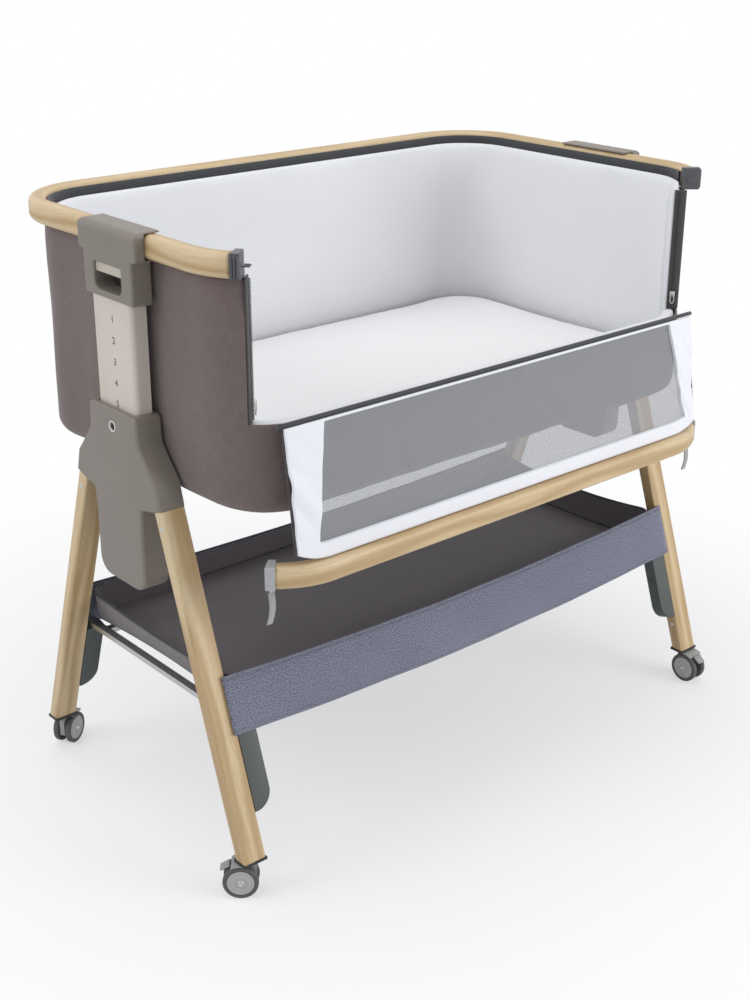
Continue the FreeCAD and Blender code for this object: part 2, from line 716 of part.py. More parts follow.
def make_front_ends():
    """End pieces of the front rail, with the tongue's slot and the pin's bore."""
    low, high = S.rail_top - S.rail_height - 5, S.rail_top + 5
    gap_turn = corner_turn(S.end_gap)
    length_turn = corner_turn(S.end_gap + S.end_cap_length)
    middle_z = S.rail_top - S.rail_height / 2
    for side in (LEFT, RIGHT):
        name = SIDE_NAMES[side]
        blank = rail_swelling(f"{name}_cap_blank", S.end_proud)
        keep = front_wedge(f"{name}_cap_keep", low, high, gap_turn)
        rest = front_wedge(f"{name}_cap_rest", low, high, length_turn)
        span = side_span(side, 0, S.rail_half_length * 2)
        half_space = box(f"{name}_cap_half", span, (-S.rail_front * 2, 0), (low, high))
        cap = less(f"{name}_cap_part", shared(f"{name}_cap_piece", blank, keep, half_space), rest)
        x, y = latch_point(side)
        slot_half = S.tongue_thick / 2 + S.tongue_room
        room = along_split(f"{name}_cap_slot", side, (-S.tongue_width / 2 - 1, S.rail_width),
                           (-1, S.tongue_length + 0.6), (middle_z - slot_half, middle_z + slot_half))
        bore = rod(f"{name}_cap_bore", S.latch_radius + S.latch_play, S.rail_height, x, y, low)
        node(f"{name}_rail_cap", place(less(f"{name}_cap_done", cap, room, bore), 0, *rail_shift()))


def make_latches():
    """Latch pins drawn back below the tongue's slot, each on its webbing pull."""
    middle_z = S.rail_top - S.rail_height / 2
    pin_top = middle_z - S.tongue_thick / 2 - S.tongue_room
    pin_low = S.rail_top - S.rail_height - S.latch_travel - 1
    shift_y, shift_z = rail_shift()
    for side in (LEFT, RIGHT):
        name = SIDE_NAMES[side]
        x, y = latch_point(side)
        pin = rod(f"{name}_pin", S.latch_radius, pin_top - pin_low, x, y + shift_y, pin_low + shift_z)
        node(f"{name}_latch_pin", pin)
        half = S.strap_width / 2
        strap = box(f"{name}_strap", (x - half, x + half),
                    (y + shift_y - S.strap_thick / 2, y + shift_y + S.strap_thick / 2),
                    (pin_low + shift_z - S.strap_length, pin_low + shift_z))
        node(f"{name}_pull_strap", strap)


def window_edges():
    left = S.window_left - S.panel_half_length
    right = S.panel_half_length - S.window_right
    top = -(S.panel_start + S.window_top)
    bottom = S.window_bottom - panel_length()
    return left, right, top, bottom


def panel_length():
    """Lower edge of the panel, just short of the front rail."""
    return swing_radius() - S.rail_height / 2 - S.panel_gap


def hang(obj):
    """Turns a panel piece drawn in the hinge's own frame to where it hangs."""
    angle = angle_of(drop_forward(), drop_below())
    return place(obj, 0, hinge_y(), S.hinge_height, (-1, 0, 0), angle)


def make_panel():
    half, thick = S.panel_half_length, S.panel_thick / 2
    left, right, top, bottom = window_edges()
    body = new_body("panel_body")
    pad(body, "panel_pad", panel_outline(body, half, -thick), S.panel_thick)
    window = [(left, top), (right, top), (right, bottom), (left, bottom)]
    pocket(body, "panel_window", outline(body, "panel_hole", "XZ_Plane", window, -thick), S.panel_thick)
    node("panel_border", hang(body))
    node("panel_net", hang(make_net(left, right, top, bottom)))
    length = half * 2 + 12
    cord = rod("piping_cord", S.piping_radius, length, -(half + 6), hinge_y(), S.hinge_height, "x")
    lip = S.hinge_height - S.piping_radius
    flap = box("piping_flap", (-half, half), (hinge_y() + 1, S.cloth_inset + S.cloth_wall - S.rail_front),
               (lip, lip + S.piping_flap))
    node("panel_piping", joined("piping", cord, flap))


def panel_outline(body, half, offset):
    """The border's outline: its lower corners draw in along the front rail's bends."""
    foot, bend = -panel_length(), S.rail_corner - S.rail_width / 2
    straight = S.rail_half_length - S.rail_corner
    whole_turn = math.asin((half - straight).value / bend.value)
    arc = []
    for share in (1, 0.75, 0.5, 0.25, 0):
        turn = whole_turn * share
        arc.append((straight + bend * math.sin(turn), foot + bend * (1 - math.cos(turn))))
    corners = [(-half, -S.panel_start), (half, -S.panel_start)] + arc
    corners += [(-x, z) for x, z in reversed(arc)]
    return outline(body, "panel_plan", "XZ_Plane", corners, offset)


def make_net(left, right, top, bottom):
    """The window's net, one face with a grid of gaps, given its thickness."""
    left, right, top, bottom = left.value, right.value, top.value, bottom.value
    columns, rows = int(S.net_columns.value), int(S.net_rows.value)
    strand, thick = S.net_strand.value, S.net_thick.value
    pitch_x = (right - left - strand) / columns
    pitch_z = (top - bottom - strand) / rows

    def loop(x0, x1, z0, z1):
        corners = [Vector(x, -thick / 2, z) for x, z in ((x0, z0), (x1, z0), (x1, z1), (x0, z1))]
        return Part.makePolygon(corners + corners[:1])

    wires = [loop(left, right, bottom, top)]
    for column in range(columns):
        for line in range(rows):
            x0, z0 = left + strand + column * pitch_x, bottom + strand + line * pitch_z
            wires.append(loop(x0, x0 + pitch_x - strand, z0, z0 + pitch_z - strand))
    net = doc.addObject("Part::Feature", "net_sheet")
    net.Shape = Part.Face(wires, "Part::FaceMakerBullseye").extrude(Vector(0, thick, 0))
    return net


# Cot

def make_cot():
    low = S.cot_bottom
    rail_bottom = S.rail_top - S.rail_height
    lip = S.hinge_height - S.piping_radius - S.seat_gap
    opening_top = S.rail_top + 20

    outer = oblong("cloth_outer", S.cloth_inset, low, rail_bottom)
    eased(outer, "cloth_bottom", S.cot_round, (low.value,))
    inner = oblong("cloth_inner", S.cloth_inset + S.cloth_wall, low + S.cloth_wall, rail_bottom + 1)
    floor = (low + S.cloth_wall).value
    bevelled(inner, "cloth_inner_bottom", (S.cot_round - S.cloth_wall) * FIRST_FLAT,
             lambda edge: edge.BoundBox.ZLength < 0.01 and abs(edge.BoundBox.ZMin - floor) < 0.01)
    cloth_opening = front_wedge("cloth_opening", lip, opening_top)
    node("outer_cloth", less("outer_cloth_cut", outer, inner, cloth_opening))

    board_low = low + S.cloth_wall + S.frame_tube + S.seat_gap * 2
    liner_low = board_low + S.board_thick + S.seat_gap
    liner_top = S.rail_top - S.liner_below_top
    skin = S.cloth_inset + S.cloth_wall + S.seat_gap
    wide = oblong("liner_wide", skin, liner_low, rail_bottom - S.seat_gap)
    collar = oblong("liner_collar", S.liner_inset, liner_low, liner_top)
    inside = oblong("liner_inside", S.liner_inset + S.liner_wall, liner_low - 1, liner_top + 1)
    liner_opening = front_wedge("liner_opening", lip, opening_top)
    node("liner", less("liner_cut", joined("liner_block", wide, collar), inside, liner_opening))

    trim_high = S.rail_top - S.trim_rise
    trim_low = trim_high - S.trim_depth
    edge = S.rail_width + S.seat_gap
    band = oblong("trim_outer", edge, rail_bottom + 0.5, trim_high)
    hollow = oblong("trim_inner", edge + S.trim_wall, rail_bottom, trim_high + 1)
    trim_opening = front_wedge("trim_opening", trim_low - 5, opening_top, -corner_turn(S.end_cap_length) - 1)
    node("rail_trim", less("rail_trim_cut", band, hollow, trim_opening))

    board_inset = S.cloth_inset + S.cloth_wall + S.board_gap
    node("bed_board", oblong("bed_board", board_inset, board_low, board_low + S.board_thick))
    make_bed_frame(low + S.cloth_wall + S.seat_gap)
    make_mattress(liner_low + S.seat_gap)
    make_zip_tapes(lip)


def make_bed_frame(low):
    """Steel tubes under the bed board: two long ones and two across."""
    inset, tube = S.frame_inset, S.frame_tube
    half, front, back = S.rail_half_length - inset, inset - S.rail_front, S.rail_back - inset
    level, reach = (low, low + tube), tube / 2
    bars = [box(f"frame_{end_name}", (-half, half), (y - reach, y + reach), level)
            for end_name, y in (("front", front), ("back", back))]
    for side in (LEFT, RIGHT):
        across = (side * half - reach, side * half + reach)
        bars.append(box(f"frame_{SIDE_NAMES[side]}", across, (front, back), level))
    node("bed_frame", joined("bed_frame_tubes", *bars))


def make_mattress(low):
    """A firm pad: flat below and above, with sides that bulge at mid height."""
    inset = (S.liner_inset + S.liner_wall + S.mattress_gap).value
    bulge, thick = S.mattress_bulge.value, S.mattress_thick.value
    base = as_size(low).value
    levels = [(0, bulge), (0.2, bulge / 4), (0.5, 0), (0.8, bulge / 4), (1, bulge + 1)]
    sections = []
    for share, draw_in in levels:
        pull = inset + draw_in
        half = S.rail_half_length.value - pull
        front, back = pull - S.rail_front.value, S.rail_back.value - pull
        sections.append(rounded_loop(half, front, back, S.rail_corner.value - pull, base + share * thick))
    pad_shape = Part.makeLoft(sections, True, True)
    mattress = doc.addObject("Part::Feature", "mattress_pad")
    mattress.Shape = pad_shape
    node("mattress", mattress)


def rounded_loop(half, front, back, radius, height):
    """A rounded oblong of lines and quarter arcs at a height."""
    middles = [(half - radius, front + radius, -90), (half - radius, back - radius, 0),
               (radius - half, back - radius, 90), (radius - half, front + radius, 180)]

    def on_arc(x, y, degrees):
        turn = math.radians(degrees)
        return Vector(x + radius * math.cos(turn), y + radius * math.sin(turn), height)

    edges = []
    for index, (x, y, start) in enumerate(middles):
        next_x, next_y, next_start = middles[(index + 1) % len(middles)]
        edges.append(Part.makeCircle(radius, Vector(x, y, height), ALONG_Z, start, start + 90))
        edges.append(Part.makeLine(on_arc(x, y, start + 90), on_arc(next_x, next_y, next_start)))
    return Part.Wire(edges)


def make_zip_tapes(lip):
    """Zip tapes on the cot's two front edges, and a slider on each."""
    tapes = []
    outer = S.rail_corner - S.cloth_inset + 1
    inner = S.rail_corner - S.liner_inset - S.liner_wall - 1
    top = S.rail_top - S.rail_height - S.seat_gap
    for side in (LEFT, RIGHT):
        name = SIDE_NAMES[side]
        tape = (S.seat_gap, S.zip_width)
        tapes.append(edge_strip(f"{name}_zip_tape", side, (inner, outer), tape, (lip + S.seat_gap, top)))
        middle, half = (outer + inner) / 2, S.slider_width / 2
        forward = (S.seat_gap * 2 + S.zip_width, S.slider_thick)
        low = S.hinge_height + S.slider_rise
        level = (low, low + S.slider_length)
        slider = edge_strip(f"{name}_slider", side, (middle - half, middle + half), forward, level)
        node(f"{name}_zip_slider", slider)
    node("zip_tapes", group("zip_tape_pair", *tapes))


def edge_strip(name, side, across, forward, level):
    """An upright strip across the cot's wall, some way in front of the split line."""
    obj = doc.addObject("Part::Box", name)
    inner, outer = across
    start, thick = forward
    low, high = level
    bind(obj, Length=outer - inner, Width=thick, Height=high - low)
    centre_x, centre_y = split_corner()
    angle = -S.split_angle if side == RIGHT else S.split_angle + 180
    along_x, along_y = angle.cos(), angle.sin()
    across_x, across_y = -(angle.sin()), angle.cos()
    shift = -(start + thick) if side == RIGHT else start
    base_x = side * centre_x + along_x * inner + across_x * shift
    base_y = centre_y + along_y * inner + across_y * shift
    return place(obj, base_x, base_y, low, (0, 0, 1), angle)


# Brackets, height tubes, levers and bolts

def make_brackets():
    rail_bottom = S.rail_top - S.rail_height
    play = S.seat_gap
    mid, half, grip = S.mid_y, S.bracket_half, S.grip_half
    for side in (LEFT, RIGHT):
        name = SIDE_NAMES[side]
        outer, edge = S.bracket_outer, S.rail_half_length
        whole = new_body(f"{name}_bracket_body")
        top, low = S.rail_top + play + S.bracket_cover, rail_bottom - play - S.bracket_cover
        start = edge + play if side == RIGHT else -outer
        shape = [(mid - half, low), (mid - half, top), (mid + half, top), (mid + half, low),
                 (mid + grip, low), (mid + grip, S.bracket_bottom),
                 (mid - grip, S.bracket_bottom), (mid - grip, low)]
        sketch = outline(whole, f"{name}_bracket_plan", "YZ_Plane", shape, start)
        pad(whole, f"{name}_bracket_pad", sketch, outer - edge - play)
        outer_x, ear_z = (side * outer).value, low.value

        def outer_corner(edge_line):
            middle = edge_line.CenterOfMass
            at_ear = abs(middle.z - ear_z) < 0.1 and abs(middle.y - mid.value) < (half - 1).value
            return runs_along(edge_line, ALONG_X) and not at_ear

        rounded(whole, f"{name}_bracket_round", S.bracket_round, outer_corner)

        def outer_rim(edge_line):
            box_x = edge_line.BoundBox
            return box_x.XLength < 0.01 and abs(box_x.XMin - outer_x) < 0.01

        bevelled(whole, f"{name}_bracket_rim", S.bracket_edge, outer_rim)
        over = box(f"{name}_bracket_over", side_span(side, edge - S.rail_width + 1, edge + 2),
                   (mid - half + 2, mid + half - 2), (S.rail_top + play, top))
        under = box(f"{name}_bracket_under", side_span(side, edge - 14, edge + 2),
                    (mid - half + 2, mid + half - 2), (low, rail_bottom - play))
        back = box(f"{name}_bracket_back", side_span(side, S.bracket_inner, edge + 2),
                   (mid - grip, mid + grip), (S.bracket_bottom, low))
        block = joined(f"{name}_bracket_block", whole, over, under, back)
        slot = finger_slot(f"{name}_finger_slot", side)
        seat = box(f"{name}_tube_seat", side_span(side, S.tube_outer - S.tube_thick, S.tube_outer),
                   (mid - S.tube_half, mid + S.tube_half),
                   (S.bracket_bottom - 1, S.bracket_bottom + S.tube_seat))
        reach, room = S.strip_half + S.lever_gap, strip_offsets()
        span = side_span(side, S.leg_x - reach, S.leg_x + reach)
        bores = [box(f"{name}_strip_bore_{index}", span, (mid + offset - reach, mid + offset + reach),
                     (S.bracket_bottom - 1, lever_top()))
                 for index, offset in enumerate(room)]
        stroke_low = lever_top() - S.strip_head - S.lever_travel - S.lever_gap
        lever_room = box(f"{name}_lever_room", span, (mid + room[0] - reach, mid + room[1] + reach),
                         (stroke_low, S.slot_bottom + S.slot_height))
        node(f"{name}_rail_bracket", less(f"{name}_bracket_cut", block, slot, seat, lever_room, *bores))


def lever_top():
    """Top of a squeeze lever, drawn squeezed."""
    return S.slot_bottom + S.slot_height - S.lever_gap


def strip_offsets():
    reach = S.slot_half + S.strip_half + 2
    return -reach, reach


def finger_slot(name, side):
    """Opening for the fingers, with rounded lower corners."""
    body = new_body(name)
    mid, half = S.mid_y, S.slot_half
    low, high = S.slot_bottom, S.slot_bottom + S.slot_height
    start = S.bracket_inner - 2 if side == RIGHT else -S.bracket_outer - 2
    shape = [(mid - half, low), (mid + half, low), (mid + half, high), (mid - half, high)]
    plan = outline(body, name + "_plan", "YZ_Plane", shape, start)
    pad(body, name + "_pad", plan, S.bracket_outer - S.bracket_inner + 4)
    lower = low.value

    def lower_corner(edge):
        return runs_along(edge, ALONG_X) and abs(edge.CenterOfMass.z - lower) < 0.1

    rounded(body, name + "_round", S.slot_round, lower_corner)
    return body


def make_tubes():
    mid, half, wall = S.mid_y, S.tube_half, S.tube_wall
    top = S.bracket_bottom + S.tube_seat
    for side in (LEFT, RIGHT):
        name = SIDE_NAMES[side]
        outer, inner = S.tube_outer, S.tube_outer - S.tube_thick
        body = new_body(f"{name}_tube_body")
        start, end = (inner, outer) if side == RIGHT else (-outer, -inner)
        shape = [(start, mid - half), (end, mid - half), (end, mid + half), (start, mid + half)]
        pad(body, f"{name}_tube_pad", outline(body, f"{name}_tube_plan", "XY_Plane", shape, S.tube_bottom),
            top - S.tube_bottom)
        outer_x = (side * outer).value

        def outer_corner(edge):
            return runs_along(edge, ALONG_Z) and abs(edge.CenterOfMass.x - outer_x) < 0.1

        rounded(body, f"{name}_tube_round", S.tube_corner, outer_corner)
        hollow = box(f"{name}_tube_hollow", side_span(side, inner + wall, outer - wall),
                     (mid - half + wall * 1.6, mid + half - wall * 1.6), (S.tube_bottom - 1, top + 1))
        hole = bolt_room(f"{name}_bolt_hole", side, inner - 2, inner + wall + 2, S.bolt_height)
        node(f"{name}_height_tube", less(f"{name}_tube_cut", body, hollow, hole))


def bolt_room(name, side, near, far, height):
    """The hole that a lock bolt slides in."""
    half, reach = S.bolt_width / 2 + S.bolt_play, S.bolt_thick / 2 + S.bolt_play
    across = (S.mid_y - half, S.mid_y + half)
    return box(name, side_span(side, near, far), across, (height - reach, height + reach))


def make_levers():
    """Squeeze levers with pull rods, and the lock bolts that they draw."""
    mid, gap = S.mid_y, S.lever_gap
    top = lever_top()
    low = top - S.lever_height
    cross_low = S.bolt_height + S.bolt_thick / 2 + 2
    half = S.strip_half
    for side in (LEFT, RIGHT):
        name = SIDE_NAMES[side]
        span = side_span(side, S.bracket_inner + 3, S.bracket_outer - 4)
        ends = strip_offsets()
        bar = box(f"{name}_lever_bar", span, (mid - S.slot_half + gap, mid + S.slot_half - gap), (low, top))
        middle = side_span(side, S.leg_x - half, S.leg_x + half)
        across = (mid + ends[0] - half, mid + ends[1] + half)
        wide = box(f"{name}_lever_wide", middle, across, (top - S.strip_head, top))
        cross = box(f"{name}_lever_cross", middle, across, (cross_low, cross_low + S.strip_head))
        strips = [box(f"{name}_pull_strip_{index}", middle, (mid + offset - half, mid + offset + half),
                      (cross_low, top))
                  for index, offset in enumerate(ends)]
        node(f"{name}_height_lever", joined(f"{name}_lever_all", bar, wide, cross, *strips))
        tip = S.tube_outer - S.tube_thick + S.bolt_play
        bolt = box(f"{name}_bolt", side_span(side, tip, tip + S.bolt_length),
                   (mid - S.bolt_width / 2, mid + S.bolt_width / 2),
                   (S.bolt_height - S.bolt_thick / 2, S.bolt_height + S.bolt_thick / 2))
        node(f"{name}_lock_bolt", bolt)


# Legs and their casings

def leg_lean():
    return angle_of(S.foot_half - S.hub_half, S.hub_height - S.foot_height)


def leg_offset(height):
    """Leg axis from the mid line at a height."""
    return S.foot_half - (as_size(height) - S.foot_height) * S.leg_fall


def leg_length():
    """Length along the leg from the foot to the hub rivet."""
    rise, run = S.hub_height - S.foot_height, S.foot_half - S.hub_half
    return (rise * rise + run * run).root()


def on_leg(obj, side, end):
    """Places a piece that is drawn on a leg's own upright axis, foot at zero."""
    return place(obj, side * S.leg_x, S.mid_y + end * S.foot_half, S.foot_height, (1, 0, 0), end * leg_lean())


def leg_block(name, width, depth, low, high, side, end, round_by=None):
    body = new_body(name)
    half_x, half_y = as_size(width) / 2, as_size(depth) / 2
    corners = [(-half_x, -half_y), (half_x, -half_y), (half_x, half_y), (-half_x, half_y)]
    pad(body, name + "_pad", outline(body, name + "_plan", "XY_Plane", corners, low), as_size(high) - low)
    if round_by is not None:
        rounded(body, name + "_round", round_by, lambda edge: runs_along(edge, ALONG_Z))
    return on_leg(body, side, end)


def make_legs():
    arm_stop = leg_length() - S.arm_end
    plates = []
    for side in (LEFT, RIGHT):
        for end in (FRONT, BACK):
            name = f"{END_NAMES[end]}_{SIDE_NAMES[side]}_leg"
            wood = leg_block(name + "_wood", S.leg_width, S.leg_depth, -S.leg_blank, arm_stop, side, end,
                             S.leg_round)
            tenon = leg_block(name + "_tenon", S.tenon_width, S.tenon_depth, arm_stop - 2,
                              arm_stop + S.tenon_length, side, end)
            y = S.mid_y + end * S.foot_half
            x, wide = side * S.leg_x, S.leg_width * 2
            below = box(name + "_below", (x - wide, x + wide), (y - wide, y + wide),
                        (S.foot_height - wide, S.foot_height))
            node(name, less(name + "_cut", joined(name + "_all", wood, tenon), below))
            half_x, half_y = S.leg_width / 2 + 1, S.leg_depth / 2 + 2
            plates.append(box(name + "_plate", (x - half_x, x + half_x), (y - half_y, y + half_y),
                              (S.foot_height - S.foot_plate, S.foot_height)))
    node("leg_end_plates", group("leg_plate_set", *plates))


def casing_outline():
    """Half of the casing's outline: top corner, flank, arm and lower body."""
    lean = leg_lean()
    across_y, across_z = lean.cos(), lean.sin()
    half = S.leg_depth / 2
    stop_z = S.hub_height - S.arm_end * lean.cos()
    stop_y = S.hub_half + S.arm_end * lean.sin()
    top = S.casing_top
    return [
        (S.casing_half, top),
        (S.casing_half + 2, top - S.shoulder_drop),
        (S.hub_half - half - 1, S.hub_height + 34),
        (S.hub_half + half * across_y + 1, S.hub_height + 8),
        (stop_y + half * across_y, stop_z + half * across_z),
        (stop_y - half * across_y, stop_z - half * across_z),
        (S.casing_half + 3, stop_z - 9),
        (S.casing_half, stop_z - 26),
        (S.casing_half, S.casing_bottom),
    ]


def make_casings():
    mid = S.mid_y
    half_points = casing_outline()
    for side in (LEFT, RIGHT):
        name = SIDE_NAMES[side]
        body = new_body(f"{name}_casing_body")
        start = S.casing_inner if side == RIGHT else -S.casing_outer
        points = [(mid + y, z) for y, z in half_points]
        points += [(mid - y, z) for y, z in reversed(half_points)]
        sketch = outline(body, f"{name}_casing_plan", "YZ_Plane", points, start)
        pad(body, f"{name}_casing_pad", sketch, S.casing_outer - S.casing_inner)
        bottom, top = S.casing_bottom.value, S.casing_top.value
        shoulder, reach = (S.casing_top - S.shoulder_drop).value, S.shoulder_drop.value

        def lower_corner(edge):
            return runs_along(edge, ALONG_X) and abs(edge.CenterOfMass.z - bottom) < 0.1

        def top_corner(edge):
            return runs_along(edge, ALONG_X) and abs(edge.CenterOfMass.z - top) < 0.1

        def shoulder_corner(edge):
            height = edge.CenterOfMass.z
            return runs_along(edge, ALONG_X) and shoulder - reach < height < shoulder + 1

        rounded(body, f"{name}_casing_bottom", S.casing_corner, lower_corner)
        rounded(body, f"{name}_casing_top", S.casing_top_round, top_corner)
        rounded(body, f"{name}_casing_shoulder", S.shoulder_round, shoulder_corner)
        outer_x = (side * S.casing_outer).value

        def outer_rim(edge):
            span = edge.BoundBox
            return span.XLength < 0.01 and abs(span.XMin - outer_x) < 0.01

        bevelled(body, f"{name}_casing_rim", S.casing_edge, outer_rim)
        gap = S.slide_gap
        channel = box(f"{name}_casing_channel",
                      side_span(side, S.tube_outer - S.tube_thick - gap, S.tube_outer + gap),
                      (mid - S.tube_half - gap, mid + S.tube_half + gap),
                      (S.casing_bottom + 8, S.casing_top + 1))
        see_x = S.tube_outer if side == RIGHT else -(S.casing_outer + 2)
        see = rod(f"{name}_number_window", S.window_radius, S.casing_outer - S.tube_outer + 2, see_x, mid,
                  S.window_height, "x")
        holes = []
        for step in range(int(S.step_count.value)):
            holes.append(bolt_room(f"{name}_step_hole_{step}", side, S.casing_inner - 2,
                                   S.casing_inner + S.casing_back + 2, S.bolt_height - S.step_pitch * step))
        sockets = [leg_block(f"{name}_{END_NAMES[end]}_arm_socket", S.tenon_width + S.tenon_play * 2,
                             S.tenon_depth + S.tenon_play * 2, leg_length() - S.arm_end - 20,
                             leg_length() - S.arm_end + S.tenon_length + 1, side, end)
                   for end in (FRONT, BACK)]
        node(f"{name}_leg_casing", less(f"{name}_casing_cut", body, channel, see, *holes, *sockets))


def make_rivets():
    heads = []
    for side in (LEFT, RIGHT):
        for end in (FRONT, BACK):
            x = S.casing_outer if side == RIGHT else -(S.casing_outer + S.rivet_thick)
            name = f"{SIDE_NAMES[side]}_{END_NAMES[end]}_rivet"
            y = S.mid_y + end * S.hub_half
            heads.append(rod(name, S.rivet_radius, S.rivet_thick, x, y, S.hub_height, "x"))
    node("leg_rivets", group("leg_rivet_set", *heads))


# Shelf

def make_sockets():
    lean = leg_lean()
    top = (S.socket_top - S.foot_height) / lean.cos()
    for side in (LEFT, RIGHT):
        for end in (FRONT, BACK):
            name = f"{END_NAMES[end]}_{SIDE_NAMES[side]}_shelf_socket"
            body = new_body(name + "_body")
            near = -side * S.leg_width / 2
            far = near - side * S.socket_width
            half = S.leg_depth / 2
            low = top - S.socket_length
            corners = [(near, low), (far, low), (far, top), (near, top)]
            if side == LEFT:
                corners.reverse()
            pad(body, name + "_pad", outline(body, name + "_plan", "XZ_Plane", corners, -half), S.leg_depth)
            far_x, low_z = far.value, low.value

            def toe(edge):
                point = edge.CenterOfMass
                return runs_along(edge, ALONG_Y) and abs(point.x - far_x) < 0.1 and abs(point.z - low_z) < 0.1

            rounded(body, name + "_toe", S.socket_round, toe)
            on_leg(body, side, end)
            bar_x = side * S.bar_x
            y = S.mid_y + end * S.peg_half
            bore = peg(name + "_bore", side, end, S.peg_play, S.socket_top + 1)
            wide = S.socket_width + 10
            flat = box(name + "_flat", (bar_x - wide, bar_x + wide), (y - wide, y + wide),
                       (S.socket_top, S.socket_top + wide))
            nub_z, nub_half = top - S.nub_drop, S.nub_size / 2
            nub_start = S.leg_width / 2 + S.socket_width
            nub = leg_piece(name + "_nub", side_span(side, nub_start - 1, nub_start + S.nub_rise),
                            (-nub_half, nub_half), (nub_z - nub_half, nub_z + nub_half), side, end)
            node(name, less(name + "_cut", joined(name + "_all", body, nub), bore, flat))


def leg_piece(name, x, y, z, side, end):
    """A block inwards of a leg, drawn on the leg's own upright axis."""
    wrapped = doc.addObject("Part::Compound", name + "_set")
    wrapped.Links = [box(name, (-as_size(x[1]), -as_size(x[0])), y, z)]
    return on_leg(wrapped, side, end)


def peg(name, side, end, play, top):
    """A flat peg of the shelf frame, or with some play the hole that it drops in."""
    x, y = side * S.bar_x, S.mid_y + end * S.peg_half
    half_x, half_y = S.peg_thick / 2 + play, S.peg_width / 2 + play
    return box(name, (x - half_x, x + half_x), (y - half_y, y + half_y), (S.peg_bottom - play, top))


def wall_half(height):
    """Inner face of the basket's long walls from the mid line."""
    return leg_offset(height) + S.leg_depth / 2 / leg_lean().cos() + S.shelf_gap


def make_shelf():
    mid, wall, half = S.mid_y, S.shelf_wall, S.shelf_half
    low, high = S.shelf_skirt, S.shelf_top

    def trapezoid(name, bottom, top, thick, length):
        body = new_body(name)
        lower, upper = wall_half(bottom) + thick, wall_half(top) + thick
        corners = [(mid - lower, bottom), (mid + lower, bottom), (mid + upper, top), (mid - upper, top)]
        pad(body, name + "_pad", outline(body, name + "_plan", "YZ_Plane", corners, -length), length * 2)
        return body

    def between_ends(name, bottom, top, thick):
        body = new_body(name)
        reach = wall_half(bottom) * 2
        slope = (half - S.shelf_floor_half) / (high - S.shelf_floor)
        lower, upper = half - (high - bottom) * slope - thick, half - (high - top) * slope - thick
        corners = [(-lower, bottom), (lower, bottom), (upper, top), (-upper, top)]
        pad(body, name + "_pad", outline(body, name + "_plan", "XZ_Plane", corners, -reach), reach * 2)
        return body

    floor, rim = S.shelf_floor, high + 5
    outer = shared("basket_outside", trapezoid("basket_outer", low, high, wall, half * 2),
                   between_ends("basket_ends", low, high, 0))
    inner = shared("basket_inside", trapezoid("basket_inner", floor + wall, rim, 0, half * 2),
                   between_ends("basket_inner_ends", floor + wall, rim, wall))
    under = trapezoid("basket_under", low - 5, floor, 0, half * 2)
    flaps = less("basket_flaps", trapezoid("basket_long_walls", low, high, wall, half + S.shelf_flap),
                 trapezoid("basket_between", low - 5, rim, 0, half * 2))
    node("shelf_basket", less("shelf_basket_cut", joined("basket_shape", outer, flaps), inner, under))

    x, half_bar, long_y = S.bar_x, S.bar_width / 2, S.leg_at_bar - S.bar_forward
    level, reach = (S.bar_bottom, S.bar_top), S.peg_half + S.peg_width / 2
    bars = []
    for end in (FRONT, BACK):
        y = mid + end * long_y
        bars.append(box(f"{END_NAMES[end]}_shelf_bar", (-x, x), (y - half_bar, y + half_bar), level))
    for side in (LEFT, RIGHT):
        bars.append(box(f"{SIDE_NAMES[side]}_shelf_bar", (side * x - half_bar, side * x + half_bar),
                        (mid - reach, mid + reach), level))
        for end in (FRONT, BACK):
            bars.append(peg(f"{SIDE_NAMES[side]}_{END_NAMES[end]}_peg", side, end, 0, S.bar_bottom + 1))
    node("shelf_frame", joined("shelf_frame_bars", *bars))


# Casters

CASTER_TURNS = {
    (LEFT, FRONT): 50,
    (RIGHT, FRONT): 180,
    (LEFT, BACK): -60,
    (RIGHT, BACK): -50,
}


def on_caster(name, obj, side, end):
    """Turns a caster piece, drawn with its trail along +Y, and puts it under its leg."""
    wrapped = doc.addObject("Part::Compound", name)
    wrapped.Links = [obj]
    turn = CASTER_TURNS[(side, end)]
    return place(wrapped, side * S.leg_x, S.mid_y + end * S.foot_half, 0, (0, 0, 1), turn)


